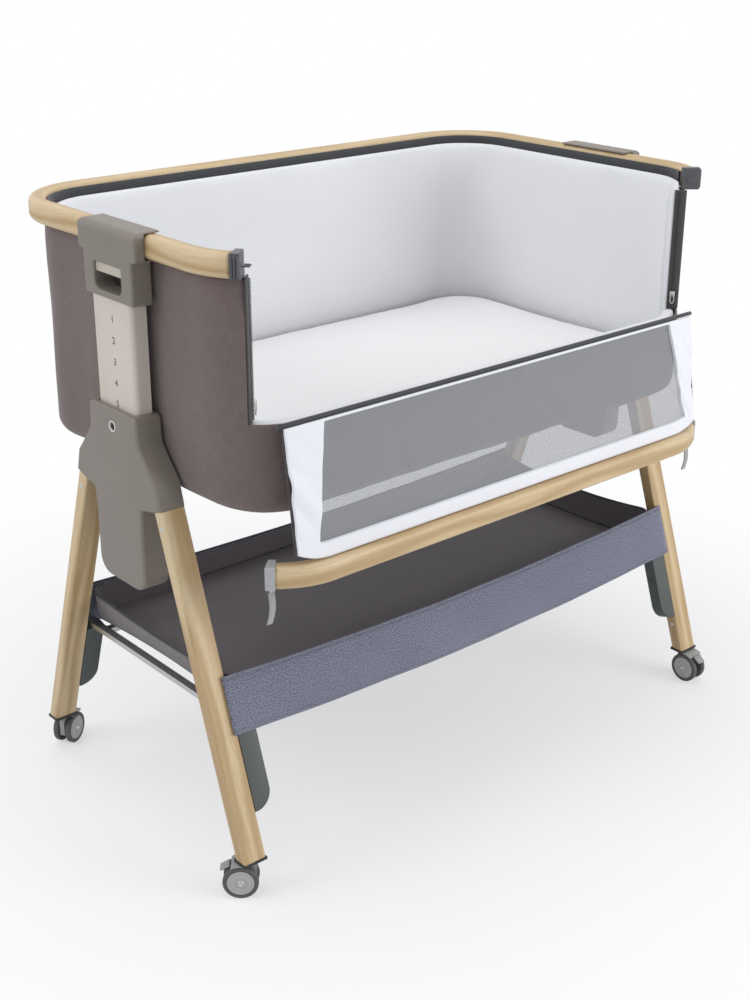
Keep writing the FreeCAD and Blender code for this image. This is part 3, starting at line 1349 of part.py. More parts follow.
def make_casters():
    radius, trail, gap = S.wheel_radius, S.wheel_trail, S.hood_gap
    half_gap, half = S.wheel_spread / 2, S.fork_thick / 2
    top, width = S.fork_top, S.wheel_thick + half_gap
    for side in (LEFT, RIGHT):
        for end in (FRONT, BACK):
            name = f"{END_NAMES[end]}_{SIDE_NAMES[side]}_caster"
            hood = drum(name + "_hood", S.hood_radius, width * 2, -width, trail, radius)
            hollow = drum(name + "_hood_inner", radius + gap, width * 2 + 2, -(width + 1), trail, radius)
            hood_end = trail + S.pedal_start - S.pedal_room
            top_half = box(name + "_top_half", (-width, width), (S.swivel_radius - 2, hood_end),
                           (radius * 3 / 2, S.caster_top))
            arch = shared(name + "_arch", less(name + "_shell", hood, hollow), top_half)
            web_top = radius + S.hood_radius - S.hood_thick / 2
            web = box(name + "_web", (-half, half), (-S.swivel_radius, trail + S.axle_radius * 2),
                      (radius - S.axle_radius * 2, web_top))
            disc = rod(name + "_swivel", S.swivel_radius, S.swivel_height + 1, 0, 0, top - 1)
            axle_hole = rod(name + "_axle_hole", S.axle_radius + S.axle_play, S.fork_thick + 2,
                            -(half + 1), trail, radius, "x")
            fork = less(name + "_fork_cut", joined(name + "_fork_all", arch, web, disc), axle_hole)
            node(name + "_fork", on_caster(name + "_fork_place", fork, side, end))
            wheels = [drum(f"{name}_wheel_{index}", radius, S.wheel_thick, start, trail, radius)
                      for index, start in enumerate((half_gap, -width))]
            axle = rod(name + "_axle", S.axle_radius, S.wheel_spread + 2, -(half_gap + 1), trail, radius, "x")
            pair = joined(name + "_wheel_pair", axle, *wheels)
            node(name + "_wheels", on_caster(name + "_wheels_place", pair, side, end))
            plate = box(name + "_pedal_plate", (-S.pedal_width / 2, S.pedal_width / 2), (0, S.pedal_length),
                        (-S.pedal_thick, 0))
            sloped = doc.addObject("Part::Compound", name + "_pedal_slope")
            sloped.Links = [plate]
            place(sloped, 0, trail + S.pedal_start, radius * 2 + S.pedal_rise, (-1, 0, 0), S.pedal_slope)
            node(name + "_pedal", on_caster(name + "_pedal_place", sloped, side, end))


make_rail()
make_rail_ends()
make_front_rail()
make_front_ends()
make_latches()
make_panel()
make_cot()
make_brackets()
make_tubes()
make_levers()
make_legs()
make_casings()
make_rivets()
make_sockets()
make_shelf()
make_casters()

doc.recompute()
for obj in doc.Objects:
    if "Invalid" in obj.State or "Error" in obj.State:
        raise RuntimeError(f"{obj.Label} failed: {obj.State}")
for obj in nodes:
    shape = obj.Shape
    if shape.isNull() or not shape.isValid() or not shape.Solids:
        raise RuntimeError(f"{obj.Label} has no valid solid")
for obj in nodes:
    obj.Shape.exportStep(f"parts/{obj.Label}.step")
print(len(nodes), "nodes")
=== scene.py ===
import json
import math
import bmesh
import bpy
from mathutils import Matrix, Vector, noise


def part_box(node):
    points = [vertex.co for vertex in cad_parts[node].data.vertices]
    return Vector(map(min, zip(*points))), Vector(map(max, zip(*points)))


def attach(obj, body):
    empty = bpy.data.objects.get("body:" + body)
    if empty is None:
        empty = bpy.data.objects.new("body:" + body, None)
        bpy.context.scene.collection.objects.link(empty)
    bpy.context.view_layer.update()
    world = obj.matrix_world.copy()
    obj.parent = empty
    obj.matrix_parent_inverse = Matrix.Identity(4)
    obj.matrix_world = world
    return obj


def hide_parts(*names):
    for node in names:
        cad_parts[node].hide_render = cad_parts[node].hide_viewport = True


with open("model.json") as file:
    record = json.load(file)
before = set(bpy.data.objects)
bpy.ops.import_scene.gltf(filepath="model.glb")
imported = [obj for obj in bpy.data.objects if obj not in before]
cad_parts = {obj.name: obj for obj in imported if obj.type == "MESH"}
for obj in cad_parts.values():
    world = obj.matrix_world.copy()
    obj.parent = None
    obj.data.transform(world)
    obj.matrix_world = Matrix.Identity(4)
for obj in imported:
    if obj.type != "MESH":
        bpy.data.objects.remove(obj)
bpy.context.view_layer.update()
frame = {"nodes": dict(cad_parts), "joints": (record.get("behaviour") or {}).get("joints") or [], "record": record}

LEFT, RIGHT = -1, 1
SIDES = {LEFT: "left", RIGHT: "right"}
FRONT_END, BACK_END = -1, 1
ENDS = {FRONT_END: "front", BACK_END: "back"}

# The rail round the cot: its box, its front face when closed, its bends' outer radius and the angle in
# degrees at which its two front corners are cut. All lengths are in metres.
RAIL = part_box("top_rail")
HALF, BACK, RAIL_LOW, RAIL_TOP = RAIL[1][0], RAIL[1][1], RAIL[0][2], RAIL[1][2]
FRONT, CORNER, SPLIT = -0.275, 0.120, 42
RAIL_WIDE, RAIL_ROUND = 0.025, 0.009
BEND = CORNER - RAIL_WIDE / 2
CX, CF, CB = HALF - CORNER, FRONT + CORNER, BACK - CORNER

# How far the open drop rail hangs from its closed place.
DROP_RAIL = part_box("front_rail")[0]
RAIL_SHIFT = (0.0, DROP_RAIL[1] - FRONT, DROP_RAIL[2] - 0.850)

# The middle of the stand, the cot's underside, the panel's hinge line and the front lip.
MID = -0.010
COT_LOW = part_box("outer_cloth")[0][2]
HINGE = Vector((0, -0.2625, 0.666))
LIP = HINGE.z - 0.0035

# A leg's middle line: its distance from the cot's middle, then each end's reach from MID and height.
LEG_X = 0.467
FOOT_REACH, FOOT_HEIGHT = 0.252, 0.057
ARM_REACH, ARM_HEIGHT = 0.085, 0.552
LEG_SLOPE = (FOOT_REACH - ARM_REACH) / (ARM_HEIGHT - FOOT_HEIGHT)


# ---------------------------------------------------------------- shader maths

class Wire:
    """One socket in a material, with the arithmetic that a pattern needs."""

    def __init__(self, paint, socket):
        self.paint, self.socket = paint, socket

    def sum(self, operation, *values):
        return self.paint.node("ShaderNodeMath", {"operation": operation}, list(values))

    def __add__(self, other): return self.sum("ADD", self, other)
    def __radd__(self, other): return self.sum("ADD", other, self)
    def __sub__(self, other): return self.sum("SUBTRACT", self, other)
    def __rsub__(self, other): return self.sum("SUBTRACT", other, self)
    def __mul__(self, other): return self.sum("MULTIPLY", self, other)
    def __rmul__(self, other): return self.sum("MULTIPLY", other, self)
    def __gt__(self, other): return self.sum("GREATER_THAN", self, other)
    def __lt__(self, other): return self.sum("LESS_THAN", self, other)
    def __abs__(self): return self.sum("ABSOLUTE", self)
    def most(self, other): return self.sum("MAXIMUM", self, other)
    def least(self, other): return self.sum("MINIMUM", self, other)
    def sine(self): return self.sum("SINE", self)
    def root(self): return self.sum("SQRT", self)


class Paint:
    """A material in the making: every node comes from the one method below."""

    def __init__(self, name):
        self.material = bpy.data.materials.new(name)
        self.material.use_nodes = True
        self.tree = self.material.node_tree
        self.tree.nodes.clear()

    def node(self, kind, settings=None, inputs=None, out=0):
        """Adds a node: first its settings, then the values or links of its sockets."""
        made = self.tree.nodes.new(kind)
        for key, value in (settings or {}).items():
            if key == "stops":
                ramp = made.color_ramp
                while len(ramp.elements) < len(value):
                    ramp.elements.new(0.5)
                for element, (position, colour) in zip(ramp.elements, value):
                    element.position = position
                    element.color = (*colour, 1.0)
            else:
                setattr(made, key, value)
        pairs = inputs.items() if isinstance(inputs, dict) else enumerate(inputs or [])
        for key, value in pairs:
            if value is None:
                continue
            socket = made.inputs[key]
            if isinstance(value, Wire):
                self.tree.links.new(value.socket, socket)
            elif isinstance(value, tuple) and len(value) == 3 and len(socket.default_value) == 4:
                socket.default_value = (*value, 1.0)
            else:
                socket.default_value = value
        return Wire(self, made.outputs[out])

    def place(self):
        return self.node("ShaderNodeTexCoord", out="Object")

    def parts(self, vector):
        split = self.node("ShaderNodeSeparateXYZ", inputs=[vector])
        outputs = split.socket.node.outputs
        return [Wire(self, outputs[axis]) for axis in range(3)]

    def vector(self, x, y, z):
        return self.node("ShaderNodeCombineXYZ", inputs=[x, y, z])

    def turned(self, vector, at, turn=(0, 0, 0)):
        """The place as seen from another origin, turned about X, Y and Z."""
        inputs = {"Vector": vector, "Location": at, "Rotation": turn}
        return self.node("ShaderNodeMapping", {"vector_type": "TEXTURE"}, inputs)

    def measure(self):
        """The UV map, in metres along and across the cloth."""
        return self.parts(self.node("ShaderNodeUVMap", {"uv_map": "UVMap"}))

    def stretched(self, vector, size):
        return self.node("ShaderNodeVectorMath", {"operation": "MULTIPLY"}, [vector, size])

    def noise(self, vector, scale, detail=3.0, roughness=0.55):
        inputs = {"Vector": vector, "Scale": scale, "Detail": detail, "Roughness": roughness}
        return self.node("ShaderNodeTexNoise", inputs=inputs)

    def ramp(self, value, *stops):
        return self.node("ShaderNodeValToRGB", {"stops": stops}, [value])

    def blend(self, factor, first, second, kind="MIX"):
        settings = {"data_type": "RGBA", "blend_type": kind}
        return self.node("ShaderNodeMix", settings, {0: factor, 6: first, 7: second}, out=2)

    def bump(self, height, strength, distance):
        inputs = {"Height": height, "Strength": strength, "Distance": distance}
        return self.node("ShaderNodeBump", inputs=inputs)

    def finish(self, colour, roughness, normal=None, alpha=None, **plain):
        inputs = {"Base Color": colour, "Roughness": roughness, "Normal": normal, "Alpha": alpha}
        inputs.update({key.replace("_", " "): value for key, value in plain.items()})
        shader = self.node("ShaderNodeBsdfPrincipled", inputs=inputs)
        self.node_out(shader)
        return self.material

    def node_out(self, shader):
        output = self.tree.nodes.new("ShaderNodeOutputMaterial")
        self.tree.links.new(shader.socket, output.inputs["Surface"])


# ---------------------------------------------------------------- finishes

PALE_OAK, WARM_OAK, DARK_OAK = (0.560, 0.410, 0.225), (0.430, 0.285, 0.135), (0.240, 0.145, 0.065)


def oak(name, grain):
    """Pale lacquered oak; grain gives across, through and along the timber in metres."""
    paint = Paint(name)
    across, through, along = grain(paint)
    slow = paint.noise(paint.vector(across * 22.0, through * 22.0, along * 2.2), 1.0, 2.0)
    rings = ((across + through * 0.6) * 260.0 + slow * 16.0).sine() * 0.5 + 0.5
    fibre = paint.noise(paint.vector(across * 900.0, through * 900.0, along * 18.0), 1.0, 3.0, 0.6)
    pores = paint.noise(paint.vector(across * 1500.0, through * 1500.0, along * 60.0), 1.0, 1.0)
    pore_mask = (pores > 0.66) * rings
    tone = rings * 0.45 + fibre * 0.40 + slow * 0.25
    colour = paint.ramp(tone, (0.30, WARM_OAK), (0.62, PALE_OAK), (0.85, (0.63, 0.49, 0.30)))
    colour = paint.blend(pore_mask * 0.55, colour, DARK_OAK)
    height = fibre * 0.6 - pore_mask
    normal = paint.bump(height, 0.12, 0.0004)
    return paint.finish(colour, fibre * 0.16 + 0.36, normal, Coat_Weight=0.12, Coat_Roughness=0.3)


def leg_grain(side, end):
    """Across, through and along one leg; the front and back legs show different parts of the pattern."""
    lean = math.atan2(FOOT_REACH - ARM_REACH, ARM_HEIGHT - FOOT_HEIGHT)

    def coordinates(paint):
        at = (side * LEG_X + 0.3 * end, MID + end * FOOT_REACH, FOOT_HEIGHT)
        spot = paint.turned(paint.place(), at=at, turn=(end * lean, 0, 0))
        return paint.parts(spot)
    return coordinates


def rail_grain(shift=(0, 0, 0)):
    """Across, through and along the bent rail, which may hang away from its closed place."""
    half_x, half_y, middle_y, radius = 0.345, 0.170, 0.015, 0.1075

    def coordinates(paint):
        x, y, z = paint.parts(paint.turned(paint.place(), at=(shift[0], shift[1] + middle_y, shift[2])))
        u, v = abs(x) - half_x, abs(y) - half_y
        beyond_u, beyond_v = u.most(0.0), v.most(0.0)
        across = (beyond_u * beyond_u + beyond_v * beyond_v).root()
        turn = beyond_v.sum("ARCTAN2", beyond_v, beyond_u)
        along = turn * radius + v.least(0.0) - u.least(0.0)
        return across, z, along
    return coordinates


def plastic(name, colour, roughness, depth=0.05):
    """Moulded plastic or coated metal with a fine spark texture and faint handling marks."""
    paint = Paint(name)
    spot = paint.place()
    fine = paint.noise(spot, 2600.0, 2.0)
    cloud = paint.noise(spot, 14.0, 3.0)
    darker = tuple(channel * 0.90 for channel in colour)
    tone = paint.blend(cloud, darker, tuple(min(1.0, channel * 1.07) for channel in colour))
    normal = paint.bump(fine, depth, 0.0003)
    return paint.finish(tone, cloud * 0.14 + (roughness - 0.07), normal)


def brushed(name, colour):
    """Drawn steel: fine lines along Z over a metal base."""
    paint = Paint(name)
    lines = paint.noise(paint.stretched(paint.place(), (3000.0, 3000.0, 60.0)), 1.0, 2.0)
    tone = paint.blend(lines, tuple(channel * 0.82 for channel in colour), colour)
    return paint.finish(tone, lines * 0.15 + (0.32 - 0.07), paint.bump(lines, 0.08, 0.0002), Metallic=1.0)


def cloth(name, dark, light, thread=0.0011, speckle=0.5, slub=0.3, sheen=0.25, tuft_scale=900.0):
    """Woven cloth read from its own UV map, which is in metres along and across."""
    paint = Paint(name)
    u, v, _ = paint.measure()
    turns = 2 * math.pi / thread
    warp, weft = (u * turns).sine(), (v * turns).sine()
    weave = warp * weft
    tuft = paint.noise(paint.vector(u * tuft_scale, v * tuft_scale, 0.0), 1.0, 2.0, 0.7)
    slubs = paint.noise(paint.vector(u * 60.0, v * 1400.0, 0.0), 1.0, 2.0)
    slubs_up = paint.noise(paint.vector(u * 1400.0, v * 60.0, 3.0), 1.0, 2.0)
    cloud = paint.noise(paint.vector(u * 7.0, v * 7.0, 1.0), 1.0, 3.0)
    flecks = (tuft - 0.5) * (speckle * 2.2) + (slubs + slubs_up - 1.0) * slub * 1.6
    tone = flecks + weave * 0.10 + (cloud - 0.5) * 0.3 + 0.5
    colour = paint.ramp(tone, (0.15, dark), (0.85, light))
    height = weave * 0.35 + tuft * 0.4 + (slubs + slubs_up) * 0.25
    normal = paint.bump(height, 0.35, 0.0005)
    return paint.finish(colour, tuft * 0.10 + 0.82, normal, Sheen_Weight=sheen, Sheen_Roughness=0.5)


def netting(name, strand, pitch=0.0030):
    """Fine knitted net: diamond holes between twisted strands, from the UV map in metres."""
    paint = Paint(name)
    u, v, _ = paint.measure()
    turns = math.pi / pitch
    first = abs(((u + v * 0.8) * turns).sine())
    second = abs(((u - v * 0.8) * turns).sine())
    wide, crossing = first < 0.86, second < 0.45
    twist = paint.noise(paint.vector(u * 2500.0, v * 2500.0, 0.0), 1.0, 1.0)
    thin = tuple(channel * 0.38 for channel in strand)
    colour = paint.blend(wide * (twist * 0.3 + 0.85), thin, strand)
    normal = paint.bump(twist, 0.4, 0.0003)
    return paint.finish(colour, twist * 0.1 + 0.7, normal, alpha=wide.most(crossing), Sheen_Weight=0.2)


def ribbed(name, colour, pitch=0.0012):
    """Ribbed tape, binding or webbing, from the UV map: ribs run across its length."""
    paint = Paint(name)
    u, v, _ = paint.measure()
    rib = (u * (2 * math.pi / pitch)).sine() * 0.5 + 0.5
    fuzz = paint.noise(paint.vector(u * 1600.0, v * 1600.0, 0.0), 1.0, 2.0)
    tone = rib * 0.35 + fuzz * 0.65
    dark = tuple(channel * 0.6 for channel in colour)
    return paint.finish(paint.blend(tone, dark, colour), fuzz * 0.1 + 0.78,
                        paint.bump(rib * 0.7 + fuzz * 0.3, 0.5, 0.0004), Sheen_Weight=0.2)


def rubber(name, colour):
    """Scuffed wheel tread."""
    paint = Paint(name)
    scuff = paint.noise(paint.place(), 240.0, 4.0, 0.7)
    tone = paint.blend(scuff, colour, tuple(channel * 1.9 + 0.02 for channel in colour))
    return paint.finish(tone, scuff * 0.2 + 0.55, paint.bump(scuff, 0.2, 0.0005))


FINE_COTTON = {"thread": 0.0007, "speckle": 0.08, "slub": 0.08, "sheen": 0.15}
finish = {
    "rail": oak("oak_rail", rail_grain()),
    "drop_rail": oak("oak_drop_rail", rail_grain(RAIL_SHIFT)),
    "taupe": plastic("taupe_plastic", (0.212, 0.184, 0.158), 0.46),
    "pale": plastic("pale_tube", (0.600, 0.535, 0.475), 0.34, depth=0.02),
    "grey": plastic("grey_plastic", (0.33, 0.325, 0.315), 0.42),
    "cream": plastic("cream_plastic", (0.52, 0.475, 0.40), 0.42),
    "ring": plastic("window_ring", (0.74, 0.73, 0.71), 0.30),
    "end_piece": plastic("end_piece_plastic", (0.075, 0.078, 0.085), 0.38),
    "cap": plastic("cap_plastic", (0.40, 0.40, 0.41), 0.34),
    "hub": plastic("hub_plastic", (0.42, 0.42, 0.41), 0.38),
    "slate": plastic("slate_plastic", (0.062, 0.073, 0.070), 0.48),
    "ink": plastic("ink", (0.05, 0.05, 0.05), 0.55),
    "black": plastic("black_plastic", (0.022, 0.022, 0.023), 0.50),
    "coated": plastic("coated_tube", (0.075, 0.075, 0.078), 0.36),
    "board": plastic("bed_board", (0.30, 0.22, 0.14), 0.7),
    "steel": brushed("bright_steel", (0.60, 0.60, 0.59)),
    "tread": rubber("wheel_tread", (0.055, 0.054, 0.053)),
    "cot_cloth": cloth("cot_cloth", (0.094, 0.068, 0.065), (0.185, 0.140, 0.133), speckle=0.22, slub=0.45),
    "basket": cloth("basket_cloth", (0.068, 0.071, 0.100), (0.270, 0.280, 0.370),
                    speckle=2.6, slub=0.05, tuft_scale=640.0),
    "basket_inside": cloth("basket_lining", (0.092, 0.080, 0.088), (0.175, 0.156, 0.172),
                           speckle=0.3, slub=0.2),
    "liner": cloth("liner_cloth", (0.74, 0.745, 0.775), (0.83, 0.835, 0.86), **FINE_COTTON),
    "sheet": cloth("mattress_cotton", (0.80, 0.80, 0.80), (0.87, 0.865, 0.86),
                   thread=0.0006, speckle=0.06, slub=0.08, sheen=0.12),
    "border": cloth("panel_cloth", (0.78, 0.785, 0.83), (0.86, 0.865, 0.90), **FINE_COTTON),
    "net": netting("window_net", (0.33, 0.335, 0.355)),
    "binding": ribbed("dark_binding", (0.052, 0.055, 0.060)),
    "zip_tape": ribbed("zip_tape", (0.070, 0.060, 0.062)),
    "webbing": ribbed("pale_webbing", (0.42, 0.42, 0.42)),
    "thread": ribbed("dark_thread", (0.12, 0.12, 0.14)),
    "pale_thread": ribbed("pale_thread", (0.62, 0.62, 0.65)),
}
for side in SIDES:
    for end in ENDS:
        finish[(side, end)] = oak(f"oak_{ENDS[end]}_{SIDES[side]}", leg_grain(side, end))

# The finish of each solid, by the end of its name; the moulded plastic parts are taupe.
DRESS = {"front_rail": "drop_rail", "top_rail": "rail", "height_tube": "pale", "height_lever": "cream",
         "rail_end": "end_piece", "rail_cap": "cap", "_fork": "grey", "_pedal": "grey", "_wheels": "hub",
         "shelf_socket": "slate", "leg_end_plates": "black", "leg_rivets": "steel", "latch_pin": "steel",
         "lock_bolt": "steel", "shelf_frame": "steel", "bed_frame": "coated", "bed_board": "board"}
LEGS = {f"{ENDS[end]}_{SIDES[side]}_leg": (side, end) for side in SIDES for end in ENDS}

for name, piece in frame["nodes"].items():
    worn = LEGS.get(name) or next((DRESS[ending] for ending in DRESS if name.endswith(ending)), "taupe")
    piece.data.materials.clear()
    piece.data.materials.append(finish[worn])


# ---------------------------------------------------------------- making pieces

BODY_OF = {node: body for body, nodes in frame["record"]["behaviour"]["bodies"].items() for node in nodes}
SLOT_OF = {part["node"]: part["material_slot"] for part in frame["record"]["subparts"]}


def settle(piece, body, slot, *hidden):
    """Puts a finished piece on its body and hides the CAD nodes that it stands for; slot is not used."""
    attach(piece, body)
    if hidden:
        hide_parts(*hidden)
    return piece


def placed(name, data):
    """Puts a new mesh, lamp or camera into the scene."""
    piece = bpy.data.objects.new(name, data)
    bpy.context.scene.collection.objects.link(piece)
    return piece


def smooth_all(piece, smooth=True):
    for polygon in piece.data.polygons:
        polygon.use_smooth = smooth


def new_piece(name, points, faces, material, uvs=None, smooth=True):
    mesh = bpy.data.meshes.new(name)
    mesh.from_pydata([tuple(point) for point in points], [], faces)
    mesh.materials.append(material)
    if uvs:
        layer = mesh.uv_layers.new(name="UVMap")
        for loop in mesh.loops:
            layer.data[loop.index].uv = uvs[loop.vertex_index]
    piece = placed(name, mesh)
    smooth_all(piece, smooth)
    return piece


def plain_mesh(piece):
    """Turns a piece with modifiers into a plain mesh."""
    graph = bpy.context.evaluated_depsgraph_get()
    graph.update()
    mesh = bpy.data.meshes.new_from_object(piece.evaluated_get(graph))
    piece.modifiers.clear()
    piece.data = mesh
    return piece


def thicken(piece, thickness, offset=-1.0):
    """Gives a sheet its thickness, inwards from its face unless offset says otherwise."""
    wall = piece.modifiers.new("wall", "SOLIDIFY")
    wall.thickness, wall.offset, wall.use_even_offset = thickness, offset, True
    return plain_mesh(piece)


def grid(name, columns, rows, point, material, uv=None, keep=None, closed=False, flip=False):
    """A sheet of columns by rows; point gives each corner and uv its place on the cloth in metres."""
    points, uvs, faces = [], [], []
    for column in range(columns):
        for row in range(rows):
            points.append(point(column, row))
            uvs.append(uv(column, row) if uv else (column * 0.005, row * 0.005))
    for column in range(columns if closed else columns - 1):
        for row in range(rows - 1):
            if keep and not keep(column, row):
                continue
            first, second = column * rows, ((column + 1) % columns) * rows
            face = (first + row, second + row, second + row + 1, first + row + 1)
            faces.append(face[::-1] if flip else face)
    piece = new_piece(name, points, faces, material, uvs)
    tidy(piece)
    return piece


def tidy(piece, merge=1e-5, outwards=False):
    """Drops loose points, merges doubled ones and, for a closed piece, turns its faces outwards."""
    work = bmesh.new()
    work.from_mesh(piece.data)
    loose = [vertex for vertex in work.verts if not vertex.link_faces]
    bmesh.ops.delete(work, geom=loose, context="VERTS")
    bmesh.ops.remove_doubles(work, verts=work.verts, dist=merge)
    if outwards:
        bmesh.ops.recalc_face_normals(work, faces=work.faces)
    work.to_mesh(piece.data)
    work.free()


def close_ends(piece):
    """Fills a piece's open ends and turns its faces outwards."""
    work = bmesh.new()
    work.from_mesh(piece.data)
    bmesh.ops.holes_fill(work, edges=[edge for edge in work.edges if edge.is_boundary], sides=0)
    bmesh.ops.recalc_face_normals(work, faces=work.faces)
    work.to_mesh(piece.data)
    work.free()


def rope(name, path, radius, material, sides=10, flat=1.0, closed=False):
    """A round or flattened cord through a list of points, with closed ends."""
    count = len(path)
    points, faces, uvs = [], [], []
    run, last_side = 0.0, None
    for index, spot in enumerate(path):
        before = path[index - 1] if index or closed else path[index]
        after = path[(index + 1) % count] if index + 1 < count or closed else path[index]
        ahead = (Vector(after) - Vector(before)).normalized()
        up = Vector((0, 0, 1)) if abs(ahead.z) < 0.9 else Vector((0, 1, 0))
        side = ahead.cross(up).normalized()
        if last_side is not None and side.dot(last_side) < 0:
            side = -side
        last_side = side
        lift = side.cross(ahead).normalized()
        if index:
            run += (Vector(spot) - Vector(path[index - 1])).length
        for step in range(sides):
            angle = 2 * math.pi * step / sides
            beside = Vector(spot) + side * (radius * math.cos(angle))
            points.append(beside + lift * (radius * flat * math.sin(angle)))
            uvs.append((run, radius * angle))
    for index in range(count if closed else count - 1):
        for step in range(sides):
            a, b = index * sides + step, index * sides + (step + 1) % sides
            c, d = ((index + 1) % count) * sides + (step + 1) % sides, ((index + 1) % count) * sides + step
            faces.append((a, b, c, d))
    if not closed:
        faces.append(tuple(range(sides))[::-1])
        faces.append(tuple((count - 1) * sides + step for step in range(sides)))
    piece = new_piece(name, points, faces, material, uvs)
    tidy(piece, outwards=True)
    return piece


def lathe(name, profile, centre, axis, material, steps=48):
    """A turned piece: profile is (distance along the axis, radius), from one end to the other."""
    axis = Vector(axis).normalized()
    side = axis.orthogonal().normalized()
    other = axis.cross(side)
    points, faces, uvs = [], [], []
    for step in range(steps):
        angle = 2 * math.pi * step / steps
        out = side * math.cos(angle) + other * math.sin(angle)
        for along, radius in profile:
            points.append(Vector(centre) + axis * along + out * radius)
            uvs.append((along, angle * radius))
    rows = len(profile)
    for step in range(steps):
        first, second = step * rows, ((step + 1) % steps) * rows
        for row in range(rows - 1):
            faces.append((first + row, first + row + 1, second + row + 1, second + row))
    piece = new_piece(name, points, faces, material, uvs)
    tidy(piece, outwards=True)
    return piece


def joined(name, pieces):
    """Joins pieces that ride together into one."""
    work, materials = bmesh.new(), []
    for piece in pieces:
        offset = len(materials)
        for material in piece.data.materials:
            materials.append(material)
        before = len(work.faces)
        work.from_mesh(piece.data)
        work.faces.ensure_lookup_table()
        for face in work.faces[before:]:
            face.material_index += offset
        bpy.data.objects.remove(piece)
    mesh = bpy.data.meshes.new(name)
    for material in materials:
        mesh.materials.append(material)
    work.to_mesh(mesh)
    work.free()
    return placed(name, mesh)


# ---------------------------------------------------------------- rows of small things

def row_tree(material, shape):
    """Sets one small shape at even spacing along each line of the input mesh."""
    tree = bpy.data.node_groups.new("row_of_" + shape, "GeometryNodeTree")
    face = tree.interface
    face.new_socket("Geometry", in_out="INPUT", socket_type="NodeSocketGeometry")
    sizes = {}
    for label, value in (("Spacing", 0.004), ("Length", 0.0025), ("Width", 0.0006), ("Height", 0.0006)):
        socket = face.new_socket(label, in_out="INPUT", socket_type="NodeSocketFloat")
        socket.default_value = value
        sizes[label] = socket.identifier
    face.new_socket("Geometry", in_out="OUTPUT", socket_type="NodeSocketGeometry")
    nodes = tree.nodes
    start, end = nodes.new("NodeGroupInput"), nodes.new("NodeGroupOutput")
    curve = nodes.new("GeometryNodeMeshToCurve")
    spots = nodes.new("GeometryNodeCurveToPoints")
    spots.mode = "LENGTH"
    if shape == "stitch":
        item = nodes.new("GeometryNodeMeshUVSphere")
        item.inputs["Segments"].default_value, item.inputs["Rings"].default_value = 6, 4
        item.inputs["Radius"].default_value = 0.5
    else:
        item = nodes.new("GeometryNodeMeshCube")
    size = nodes.new("ShaderNodeCombineXYZ")
    place = nodes.new("GeometryNodeInstanceOnPoints")
    real = nodes.new("GeometryNodeRealizeInstances")
    colour = nodes.new("GeometryNodeSetMaterial")
    colour.inputs["Material"].default_value = material
    for source, output, target, socket in (
            (start, "Geometry", curve, "Mesh"), (curve, "Curve", spots, "Curve"),
            (start, "Spacing", spots, "Length"), (start, "Height", size, "X"),
            (start, "Width", size, "Y"), (start, "Length", size, "Z"),
            (spots, "Points", place, "Points"), (item, "Mesh", place, "Instance"),
            (spots, "Rotation", place, "Rotation"), (size, "Vector", place, "Scale"),
            (place, "Instances", real, "Geometry"), (real, "Geometry", colour, "Geometry"),
            (colour, "Geometry", end, "Geometry")):
        tree.links.new(source.outputs[output], target.inputs[socket])
    return tree, sizes


def row_of(name, lines, material, shape="stitch", **sizes):
    """Stitches or teeth along polylines, as one plain mesh."""
    points, edges = [], []
    for line in lines:
        first = len(points)
        points += [tuple(spot) for spot in line]
        edges += [(first + index, first + index + 1) for index in range(len(line) - 1)]
    mesh = bpy.data.meshes.new(name)
    mesh.from_pydata(points, edges, [])
    piece = placed(name, mesh)
    tree, sockets = row_tree(material, shape)
    maker = piece.modifiers.new("row", "NODES")
    maker.node_group = tree
    for label, value in sizes.items():
        maker[sockets[label]] = value
    plain_mesh(piece)
    smooth_all(piece, shape == "stitch")
    return piece


# ---------------------------------------------------------------- the rail's plan

def bend(x, y, start, stop, step=4.0):
    """Stations round a corner: its centre and the outward angle in degrees."""
    count = max(2, int(abs(stop - start) / step))
    return [(Vector((x, y)), start + (stop - start) * index / count) for index in range(count + 1)]


def stretch(first, last, angle, step=0.012):
    """Stations along a straight run, without its two ends."""
    first, last = Vector(first), Vector(last)
    count = max(2, int((last - first).length / step))
    return [(first.lerp(last, index / count), angle) for index in range(1, count)]


ROUND_BACK = (bend(-CX, CF, 180 + SPLIT, 180) + stretch((-CX, CF), (-CX, CB), 180)
              + bend(-CX, CB, 180, 90) + stretch((-CX, CB), (CX, CB), 90)
              + bend(CX, CB, 90, 0) + stretch((CX, CB), (CX, CF), 0) + bend(CX, CF, 0, -SPLIT))
ROUND_FRONT = (bend(CX, CF, -SPLIT, -90) + stretch((CX, CF), (-CX, CF), -90)
               + bend(-CX, CF, -90, -180 + SPLIT))


def spot_at(station, inset, height):
    """The place at a station, inset from the rail's outer face, at a height."""
    centre, angle = station
    turn = math.radians(angle)
    reach = CORNER - inset
    return Vector((centre.x + math.cos(turn) * reach, centre.y + math.sin(turn) * reach, height))


def running(places):
    """The distance along a line of places, at each of them."""
    total = [0.0]
    for before, after in zip(places, places[1:]):
        total.append(total[-1] + math.dist(before, after))
    return total


def runs(stations):
    """Distance along the stations, for a cloth's own measure."""
    return running([spot_at(station, 0.03, 0) for station in stations])


def outward(station):
    """The level direction from a station's centre to the outside."""
    turn = math.radians(station[1])
    return Vector((math.cos(turn), math.sin(turn), 0))


def ripple(spot, size, wide, tall, seed=0.0):
    """A smooth fold of about size metres at a place on the cloth."""
    return size * noise.noise(Vector((spot.x / wide + seed, spot.y / wide, spot.z / tall)))


# ---------------------------------------------------------------- rails

